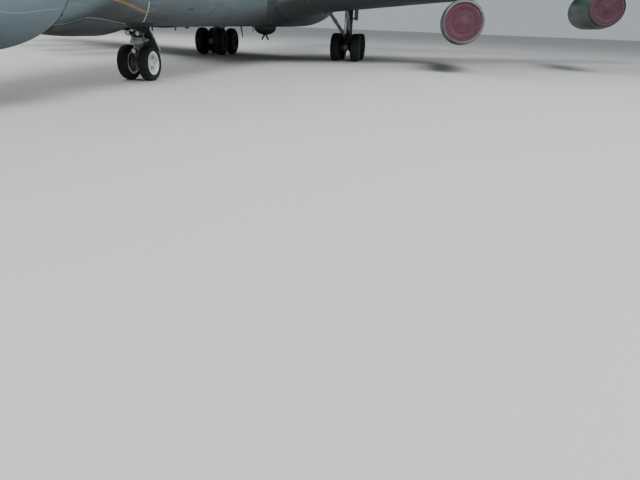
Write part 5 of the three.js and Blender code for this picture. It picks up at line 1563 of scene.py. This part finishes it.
# %% Wheel and tyre shapes
NOSE_WHEEL = {"radius": 0.43, "width": 0.28, "rim": 0.275, "spacing": 0.28, "axle": 0.055}
MAIN_WHEEL = {"radius": 0.615, "width": 0.42, "rim": 0.29, "spacing": 0.46, "axle": 0.07}
# Half a tyre's section. Columns: part of its height from the rim, part of its width.
TYRE_LINE = np.array([(0.0, 0.37), (0.1, 0.43), (0.28, 0.49), (0.45, 0.498), (0.65, 0.475), (0.82, 0.42),
                      (0.93, 0.33), (0.985, 0.18), (1.0, 0.0)])
GROOVES, GROOVE_WIDTH = (-0.26, -0.09, 0.09, 0.26), 0.018       # as parts of the width
GROOVE_DEPTH, TYRE_SEAT = 0.012, 0.002
FLANGE = 0.012         # how far the rim's flange stands out
# The barrel and the web. Columns: part of the rim's radius, part of the width, from the inner face
# outwards, and for the barrel, the share of the flange that is added to the radius.
BARREL_LINE = np.array([
    (0.84, -0.3, 0), (0.86, -0.37, 0), (0.9, -0.4, 0), (1, -0.41, 1), (1, -0.37, 1), (1, -0.36, 0),
    (1, 0.37, 0), (1, 0.38, 1), (1, 0.41, 7 / 6), (0.97, 0.43, 0), (0.9, 0.425, 0), (0.86, 0.38, 0),
    (0.83, 0.26, 0)])
WEB_LINE = np.array([
    (0, -0.32), (0.3, -0.32), (0.34, -0.12), (0.845, -0.12), (0.845, 0.22), (0.78, 0.14), (0.6, 0.08),
    (0.42, 0.08), (0.36, 0.12), (0.33, 0.26), (0.3, 0.32), (0.2, 0.36), (0, 0.37)])
SHIELD_LINE = np.array([(0.31, -0.3), (0.82, -0.26), (0.82, -0.2), (0.31, -0.2)])


def tyre(wheel, centre_x):
    """The section from the table, with each groove a dip that falls off by a fourth power."""
    half = smooth_path(TYRE_LINE, 5)
    section = np.concatenate([half, (half * [1, -1])[::-1][1:]])
    height = wheel["radius"] - wheel["rim"]
    side = section[:, 1] * wheel["width"]
    dip = sum(np.exp(-((section[:, 1] - groove) / GROOVE_WIDTH) ** 4) for groove in GROOVES)
    dip = GROOVE_DEPTH * dip * (section[:, 0] > 0.9)
    radius = wheel["rim"] + TYRE_SEAT + section[:, 0] * (height - TYRE_SEAT) - dip
    return turned(np.stack([radius, side], axis=-1), (centre_x, 0, 0), PORT, 112, closed=True)


def bolt_ring(centre, axis, circle_radius, count, radius, height):
    """Hexagon heads, evenly spaced on a circle about the axis."""
    u, v = side_axes(axis)
    cos, sin = circle(count)
    return [bar(spot, spot + height * unit(axis), radius, segments=6, chamfer=0.2)
            for spot in np.asarray(centre) + circle_radius * (cos * u + sin * v)]


def wheel_disc(wheel, centre_x, side):
    """One wheel, its outer face towards the given side: its barrel, its dished web, its inner
    shield, the holes to cut in the web, and its bolts."""
    r, w, out = wheel["rim"], wheel["width"], side * PORT
    centre = np.array([centre_x, 0, 0])
    barrel_line = BARREL_LINE[:, :2] * [r, w] + FLANGE * BARREL_LINE[:, 2:] * [1, 0]
    barrel = turned(barrel_line, centre, out, 96, closed=True)
    web = turned(WEB_LINE * [r, w], centre, out, 96)
    shield = turned(SHIELD_LINE * [r, w], centre, out, 64, closed=True)
    cos, sin = circle(8)
    spots = centre + 0.6 * r * np.hstack([0 * cos, cos, sin])
    holes = [bar(spot - 0.18 * w * out, spot + 0.3 * w * out, 0.14 * r, segments=20, chamfer=0.0)
             for spot in spots]
    bolts = bolt_ring(centre + 0.12 * w * out, out, 0.77 * r, 16, 0.01, 0.06 * w)
    bolts += bolt_ring(centre + 0.3 * w * out, out, 0.24 * r, 8, 0.008, 0.06 * w)
    return barrel, web, shield, holes, bolts


print("a wheel has", len(wheel_disc(MAIN_WHEEL, 0.0, 1)[4]), "bolts")

# %% Wheels on an axle


def wheel_pieces(name, wheel, centre, body, node, tyre_nodes, finish, web_finish):
    """Two wheels on one axle, with their tyres, at a place on the aircraft."""
    for side, tyre_node in zip((1, -1), tyre_nodes):
        tag = "outer" if side * centre[0] >= 0 else "inner"
        tag = ("left", "right")[side < 0] if centre[0] == 0 else tag
        barrel, web, shield, holes, bolts = wheel_disc(wheel, side * wheel["spacing"], side)
        make_piece(f"{name}_wheel_{tag}", [moved(barrel, centre)], [finish], body, [node] if side > 0 else [],
                   "rim_white", 30)
        make_piece(f"{name}_web_{tag}", [moved(web, centre)], [web_finish], body, [], "rim_white", 30,
                   [moved(hole, centre) for hole in holes])
        gear_piece(f"{name}_shield_{tag}", [moved(shield, centre)], [dark_enamel], body)
        gear_piece(f"{name}_bolts_{tag}", [moved(bolt, centre) for bolt in bolts], [bare_steel], body)
        make_piece(f"{name}_tyre_{tag}", [moved(tyre(wheel, side * wheel["spacing"]), centre)],
                   [tyre_rubber], body, [tyre_node], "tyre", 40)
    reach = wheel["spacing"] - 0.3 * wheel["width"]
    gear_piece(f"{name}_axle", [moved(bar((-reach, 0, 0), (reach, 0, 0), wheel["axle"]), centre)],
               [bare_steel], body)


print("tyres:", NOSE_WHEEL["radius"] * 2, "m on the nose,", MAIN_WHEEL["radius"] * 2, "m on the bogies")

# %% [markdown]
# ## Nose gear
# The leg hangs from the bay's roof with a drag brace behind it. Dark cheek plates hide its top. A
# pale steering collar with its box and guides clasps the lower end, under two lamps. All of it is
# drawn about the leg's own axis, and then moved to its place under the fuselage.

# %% Nose leg


def nose_piece(name, shapes, *rest, **options):
    """A piece whose shapes are drawn about the leg's axis, moved to the leg's place."""
    return gear_piece(name, [moved(shape, NOSE_GEAR) for shape in shapes], *rest, **options)


BAY_ROOF = 2.099         # the leg and its brace stop just under the roof
# Columns: start, end, radius.
LEG_BARS = [
    ((0, 0.03, 1.5), (0, 1.15, 1.98), 0.05),                     # drag brace
    ((0, 1.15, 1.92), (0, 1.15, BAY_ROOF), 0.07),                # its bracket
    ((-0.09, 1.15, 1.96), (0.09, 1.15, 1.96), 0.04),             # the pin between them
    ((-0.3, 0, 1.36), (0.3, 0, 1.36), 0.06),                     # cross shaft
    ((-0.135, -0.03, 0.985), (-0.135, 0.26, 0.985), 0.035),      # steering cylinders
    ((0.135, -0.03, 0.985), (0.135, 0.26, 0.985), 0.035),
    ((-0.2, -0.04, 1.12), (0.2, -0.04, 1.12), 0.03),             # lamp bar
]
COLLAR = [(0.09, 0.901), (0.14, 0.901), (0.15, 0.915), (0.15, 0.95), (0.142, 0.96), (0.142, 0.99),
          (0.15, 1.0), (0.15, 1.03), (0.1, 1.04)]
CLAMP = [(0.1, 1.045), (0.155, 1.045), (0.155, 1.085), (0.1, 1.085)]
BAND_HEIGHTS = (1.33, 1.6, 1.9)
PIPES = [
    [(0.1, -0.06, 1.95), (0.115, -0.05, 1.6), (0.12, -0.05, 1.25), (0.16, -0.02, 1.05), (0.15, 0.03, 0.9)],
    [(-0.09, -0.08, 1.95), (-0.1, -0.075, 1.6), (-0.11, -0.07, 1.3), (-0.16, -0.04, 1.06),
     (-0.15, 0.02, 0.9)],
    [(0.05, -0.11, 1.95), (0.05, -0.12, 1.5), (0.03, -0.13, 1.2), (0.0, -0.13, 1.14)]]

strut_ring = lambda profile, segments: turned(profile, (0, 0, 0), UP, segments, closed=True)
leg = [bar((0, 0, 0.8), (0, 0, BAY_ROOF), 0.1, segments=48)] + [bar(*row) for row in LEG_BARS]
leg += [strut_ring([(0.095, z), (0.125, z + 0.005), (0.125, z + 0.05), (0.095, z + 0.055)], 48)
        for z in BAND_HEIGHTS]
leg += [plate(rounded_rectangle(0.14, 0.1, 0.03), 0.03, (side * 0.1, 0.24, 1.42), AFT, UP)
        for side in (-1, 1)]
steering_box = block((-0.12, -0.19, 0.88), (0.12, -0.05, 0.98), 0.025)
guides = [bar((side * 0.12, -0.02, 1.17), (side * 0.12, 0.2, 0.92), 0.018) for side in (-1, 1)]
pipes = [tube(smooth_path(corners), 0.011) for corners in PIPES]
nose_piece("nose_strut", leg, [gear_enamel], stands_for=["nose_leg"])
nose_piece("nose_steering_collar", [strut_ring(COLLAR, 64), steering_box] + guides, [pale_enamel])
nose_piece("nose_collar_clamp", [strut_ring(CLAMP, 64)], [shade_black])
nose_piece("nose_strut_pipes", pipes, [bare_steel])

# %% Lamps and cheek plates
# The cheek's outline. Columns: distance aft of the leg, height above CHEEK_FOOT.
CHEEK_OUTLINE = np.array([(-0.5, 0.35), (-0.5, 0.14), (-0.4, 0.0), (0.06, 0.0), (0.2, 0.1), (0.2, 0.35)])
CHEEK_X, CHEEK_FOOT = 0.25, 1.2
CHEEK_PINS = [(-0.38, 1.32), (0.08, 1.3)]         # y and z


def lamp(front, back, radius):
    """A landing lamp: a bowl that widens to a bezel, and a domed glass a little behind its rim."""
    front, back = np.asarray(front, float), np.asarray(back, float)
    length = np.linalg.norm(front - back)
    scale = [radius, length]
    bowl = np.array([(0, 0), (0.35, 0.02), (0.8, 0.45), (0.94, 0.8), (1, 0.86), (1, 1), (0.9, 1),
                     (0.86, 0.88), (0, 0.86)]) * scale
    glass = np.array([(0, 0.87), (0.86, 0.88), (0.84, 0.94), (0.5, 0.975), (0, 0.985)]) * scale
    return turned(bowl, back, front - back, 48), turned(glass, back, front - back, 48)


cheeks = [plate(CHEEK_OUTLINE, 0.04, (side * CHEEK_X, 0, CHEEK_FOOT), AFT, UP) for side in (-1, 1)]
cheeks += [block((-0.24, -0.5, 1.24), (0.24, -0.46, 1.5), 0.01)]
cheeks += [bar((side * 0.18, y, z), (side * 0.285, y, z), 0.03) for side in (-1, 1) for y, z in CHEEK_PINS]
# The cheeks are painted near black, as painted shade under the bay.
nose_piece("nose_cheek_plates", cheeks, [shade_black])
leg_lamps = [lamp((side * 0.13, -0.24, 1.14), (side * 0.13, -0.045, 1.14), 0.065) for side in (-1, 1)]
nose_piece("nose_lamp_bowls", [bowl for bowl, _ in leg_lamps], [dark_enamel])
nose_piece("nose_lamp_glass", [glass for _, glass in leg_lamps], [lamp_glass])

# %% [markdown]
# A door panel slants down behind the leg, held by a short stay. It is one plate with ribs on its
# face, painted dark as painted shade, and a white strip along each long edge is a painted
# highlight. Everything on it is set out from its own middle, across and down.

# %% Nose gear door
DOOR_WIDTH, RIB_LIFT = 0.44, 0.02
door_top, door_foot = np.array([0, 0.2, 1.32]), np.array([0, 0.75, 0.7])
door_down = unit(door_foot - door_top)
door_middle, door_length = (door_top + door_foot) / 2, np.linalg.norm(door_foot - door_top)
door_face = np.cross(PORT, door_down)


def on_door(width, length, radius, thickness, across=0.0, down=0.0, lift=0.0):
    """A rounded plate on the door, this far across, down and off its face from its middle."""
    at = door_middle + across * PORT + down * door_down + lift * door_face
    return plate(rounded_rectangle(width, length, radius), thickness, at, PORT, door_down)


door = on_door(DOOR_WIDTH, door_length, 0.05, 0.026)
ribs = [on_door(DOOR_WIDTH - 0.06, 0.03, 0.01, 0.035, 0, down, RIB_LIFT)
        for down in (-0.28, -0.09, 0.1, 0.29)]
ribs += [on_door(0.03, 0.74, 0.01, 0.035, across, 0, RIB_LIFT) for across in (-0.16, 0.16)]
stay = [bar((0, 0.14, 1.0), (0, 0.47, 1.0), 0.03), bar((-0.07, 0.46, 1.0), (0.07, 0.46, 1.0), 0.035)]
# The white strips along the long edges are painted highlights.
edge_highlights = [on_door(0.02, door_length, 0.008, 0.036, side * (DOOR_WIDTH / 2 - 0.005)) for side in (-1, 1)]
# The panel takes the dark belly coat as painted shade.
nose_piece("nose_door_panel", [door], [belly_paint], stands_for=["nose_gear_door"], slot="dark_grey_paint")
nose_piece("nose_door_ribs", ribs, [gear_enamel])
nose_piece("nose_door_stay", stay, [dark_enamel])
nose_piece("nose_door_edges", edge_highlights, [white_paint], slot="rim_white")

# %% [markdown]
# The fork below the leg turns as the wheels are steered. It is a sleeve round the axle and a post
# up into the leg, with a torque link of two flat levers behind and a lamp of its own in front.

# %% Fork and nose wheels
nose_axle_z = NOSE_WHEEL["radius"]
AXLE_SLEEVE = [(0.062, -0.14), (0.1, -0.135), (0.1, -0.1), (0.092, -0.08), (0.092, 0.08), (0.1, 0.1),
               (0.1, 0.135), (0.062, 0.14)]
LINK_OUTLINE = np.array([(-0.075, -0.04), (-0.02, -0.11), (0.02, -0.11), (0.075, -0.04), (0.055, 0.08),
                         (0.02, 0.11), (-0.02, 0.11), (-0.055, 0.08)])
fork_head = bar((0, 0, 0.68), (0, 0, 0.799), 0.12, segments=48)
fork = [bar((0, 0, nose_axle_z), (0, 0, 0.72), 0.075, segments=48),
        turned(AXLE_SLEEVE, (0, 0, nose_axle_z), PORT, 64, closed=True),
        block((-0.05, 0.05, 0.69), (0.05, 0.2, 0.75), 0.015),
        block((-0.045, 0.04, 0.44), (0.045, 0.15, 0.51), 0.015),
        plate(LINK_OUTLINE, 0.025, (0, 0.2, 0.655), PORT, (0, 0.3, 0.75)),
        plate(LINK_OUTLINE * [1, -1], 0.025, (0, 0.2, 0.535), PORT, (0, -0.35, 0.75)),
        bar((-0.06, 0.235, 0.595), (0.06, 0.235, 0.595), 0.022)]
fork_bowl, fork_glass = lamp((0, -0.26, 0.72), (0, -0.08, 0.72), 0.07)
nose_piece("nose_fork_casting", fork, [gear_enamel], "nose_steering", ["nose_fork"])
nose_piece("nose_fork_head", [fork_head], [pale_enamel], "nose_steering")
nose_piece("fork_lamp_bowl", [fork_bowl], [dark_enamel], "nose_steering")
nose_piece("fork_lamp_glass", [fork_glass], [lamp_glass], "nose_steering")
wheel_pieces("nose", NOSE_WHEEL, NOSE_GEAR + [0, 0, nose_axle_z], "nose_wheel_pair", "nose_wheels",
             ["nose_tyre_left", "nose_tyre_right"], rim_enamel, web_enamel)

# %% [markdown]
# ## Main gear
# Each main leg is an outer cylinder with a chromed sliding tube below it, held by a side brace and
# a fore brace. A dark forging clasps its foot, a pale conduit runs down beside it, and two links
# behind keep the tube from turning. The pieces are made for the port side and mirrored.

# %% Main legs
LEG = np.array([3.31, 13.93, 0.0])
main_axle_z, saddle_top = MAIN_WHEEL["radius"], MAIN_WHEEL["radius"] + 0.23
from_leg = lambda *place: LEG + np.array(place)
sliding_tube = bar(from_leg(0, 0, saddle_top + 0.001), from_leg(0, 0, 1.1), 0.11, segments=64)
# Places are from the leg's foot on the ground. Profiles are (radius, height).
CYLINDER = [(0.1, 0.94), (0.15, 0.945), (0.165, 0.96), (0.165, 1.04), (0.15, 1.06), (0.15, 1.72),
            (0.17, 1.735), (0.17, 1.8), (0.15, 1.815), (0.15, 2.7), (0.1, 2.7)]
FORGING = [(0.115, 0.86), (0.17, 0.86), (0.2, 0.89), (0.215, 1.0), (0.2, 1.12), (0.17, 1.17),
           (0.152, 1.19), (0.115, 1.19)]
# Columns: start, end, radius.
BRACES = [
    ((-0.1, 0, 0.99), (-1.22, 0, 2.42), 0.08),                 # side brace
    ((0, -0.08, 1.35), (0, -1.35, 2.6), 0.06),                 # fore brace
    ((-0.63, 0, 1.671), (-0.74, 0, 1.811), 0.09),              # the side brace's joint and its pin
    ((-0.685, -0.1, 1.741), (-0.685, 0.1, 1.741), 0.035),
    ((0, -0.62, 1.882), (0, -0.74, 2.0), 0.085),               # the fore brace's joint
    ((0, 0, 1.88), (0.3, 0, 1.88), 0.04),                      # arm to the door
]
MAIN_PIPES = [
    [(0.06, -0.15, 2.4), (0.06, -0.165, 1.9), (0.07, -0.17, 1.4), (0.13, -0.19, 1.1), (0.1, -0.3, 0.85),
     (0.06, -0.45, 0.76)],
    [(-0.06, -0.15, 2.4), (-0.06, -0.165, 1.9), (-0.07, -0.17, 1.4), (-0.14, -0.1, 1.1), (-0.15, 0.2, 0.85),
     (-0.06, 0.45, 0.76)]]
MAIN_LINK = np.array([(-0.11, -0.15), (-0.03, 0.15), (0.03, 0.15), (0.11, -0.15)])

cylinder, forging = turned(CYLINDER, LEG, UP, 72, closed=True), turned(FORGING, LEG, UP, 64, closed=True)
braces = [bar(from_leg(*start), from_leg(*stop), radius) for start, stop, radius in BRACES]
lugs = [plate(rounded_rectangle(0.16, 0.12, 0.04), 0.04, from_leg(0, 0.2, z), AFT, UP) for z in (1.26, 0.98)]
links = [plate(MAIN_LINK, 0.03, from_leg(0, 0.32, 1.185), PORT, (0, -0.8, 0.6)),
         plate(MAIN_LINK * [1, -1], 0.03, from_leg(0, 0.32, 1.035), PORT, (0, -0.85, -0.5)),
         bar(from_leg(-0.06, 0.43, 1.11), from_leg(0.06, 0.43, 1.11), 0.028)]
main_pipes = [tube(smooth_path([from_leg(*p) for p in path]), 0.012) for path in MAIN_PIPES]
leg_door = plate(rounded_rectangle(1.0, 0.48, 0.08), 0.04, from_leg(0.31, 0, 2.04), AFT, UP)
door_ribs = [plate(rounded_rectangle(0.9, 0.03, 0.01), 0.03, from_leg(0.278, 0, z), AFT, UP)
             for z in (1.88, 2.12)]
conduit = bar(from_leg(-0.2, -0.08, 1.21), from_leg(-0.2, -0.08, 2.5), 0.026)
gear_pair("main_cylinder", [cylinder] + lugs + links, [shaded_enamel], stands_for=["main_leg"])
gear_pair("main_foot_forging", [forging], [dark_enamel])
gear_pair("main_braces", braces, [pale_enamel])
gear_pair("main_conduit", [conduit], [rim_enamel])
gear_pair("main_sliding_tube", [sliding_tube], [chrome_plate])
gear_pair("main_pipes", main_pipes, [bare_steel])
dark_pair("main_leg_door", [leg_door], [belly_paint])
gear_pair("main_door_ribs", door_ribs, [gear_enamel])

# %% [markdown]
# The leg stands on the saddle of a bogie beam, whose ends are rounded by a quarter ellipse. Each
# axle runs through a sleeve, with a ribbed brake pack on either side of it and a rod from each
# pack to the middle of the beam.

# %% Bogies
AXLE_DY = (-0.75, 0.75)
BEAM_RADIUS, BEAM_HALF_LENGTH, BEAM_ROUNDING = 0.13, 0.97, 0.1
SLEEVE = [(0.08, -0.14), (0.13, -0.135), (0.13, 0.135), (0.08, 0.14)]
# A brake pack and its two ribs. Columns: radius, distance along the axle from its middle.
BRAKE = np.array([(0.085, -0.055), (0.19, -0.055), (0.2, -0.045), (0.2, -0.02), (0.225, -0.018), (0.225, 0.0),
                  (0.2, 0.002), (0.2, 0.02), (0.225, 0.022), (0.225, 0.045), (0.085, 0.05)])
BRAKE_X, ROD_X = 0.215, 0.17

beam_profile = [(BEAM_RADIUS * math.sin(a), BEAM_ROUNDING * (1 - math.cos(a)) - BEAM_HALF_LENGTH)
                for a in np.linspace(0, np.pi / 2, 12)]
beam_profile += [(radius, -along) for radius, along in beam_profile[::-1]]
beam = [turned(beam_profile, from_leg(0, 0, main_axle_z), AFT, 64)]
beam += [block(from_leg(-0.12, -0.2, main_axle_z), from_leg(0.12, 0.2, saddle_top), 0.04)]
beam += [turned(SLEEVE, from_leg(0, dy, main_axle_z), PORT, 56, closed=True) for dy in AXLE_DY]
brakes = [turned(BRAKE + [0, x], from_leg(0, dy, main_axle_z), PORT, 72, closed=True)
          for dy in AXLE_DY for x in (-BRAKE_X, BRAKE_X)]
brake_rods = [bar(from_leg(x, dy, main_axle_z - 0.17), from_leg(x, 0, main_axle_z - 0.15), 0.022)
              for x in (-ROD_X, ROD_X) for dy in AXLE_DY[::-1]]
gear_pair("bogie_beam_casting", beam, [beam_enamel], stands_for=["bogie_beam"])
gear_pair("brake_packs_and_rods", brakes + brake_rods, [brake_steel])

for place, dy in zip(("front", "rear"), AXLE_DY):
    for hand, sign in (("left", 1), ("right", -1)):
        centre = np.array([sign * LEG[0], LEG[1] + dy, main_axle_z])
        sides = ("outer", "inner") if sign > 0 else ("inner", "outer")
        wheel_pieces(f"main_{place}_{hand}", MAIN_WHEEL, centre, f"bogie_axle_{place}_{hand}",
                     f"main_wheels_{place}_{hand}", [f"main_tyre_{place}_{s}_{hand}" for s in sides],
                     dust_and_shade_enamel, dust_and_shade_enamel)

# %% [markdown]
# ## Floor and light
# The floor is plain and pale and runs on to the horizon, where the world has nearly its colour.
# A large soft light from above and in front of the port wing models the top, and the floor and
# the world light the belly.

# %% Floor and light
floor_mesh = bpy.data.meshes.new("floor")
floor_mesh.from_pydata([(-400, -400, 0), (400, -400, 0), (400, 400, 0), (-400, 400, 0)], [], [(0, 1, 2, 3)])
floor = bpy.data.objects.new("floor", floor_mesh)
bpy.context.scene.collection.objects.link(floor)
floor_coat = new_material("pale_floor")
close_material(floor_coat, linear("#BDBCB9"), 0.9)
floor_mesh.materials.append(floor_coat)

world = bpy.data.worlds.new("studio")
bpy.context.scene.world = world
world.use_nodes = True
world.node_tree.nodes["Background"].inputs["Color"].default_value = linear("#CFDAE2")
world.node_tree.nodes["Background"].inputs["Strength"].default_value = 0.62
# Columns: name, place, side length, power in watts.
for name, at, size, power in (("key", (9, -16, 17), 12, 6000), ("fill", (-14, 4, 14), 14, 2600)):
    lamp_data = bpy.data.lights.new(name, "AREA")
    lamp_data.size, lamp_data.energy = size, power
    lamp_object = bpy.data.objects.new(name, lamp_data)
    aim = unit(np.array(at, float))
    side, lift = side_axes(aim)
    stand = np.eye(4)
    stand[:3, 0], stand[:3, 1], stand[:3, 2], stand[:3, 3] = side, lift, aim, at
    lamp_object.matrix_world = Matrix(stand)
    bpy.context.scene.collection.objects.link(lamp_object)

print("lights:", [light.name for light in bpy.data.lights])

# %% [markdown]
# ## Sizes and finish
# The triangle count of the dressed model, and its four largest pieces.

# %% Sizes and finish
print("triangles:", sum(triangle_counts.values()), "largest:",
      sorted(triangle_counts.items(), key=lambda item: -item[1])[:4])
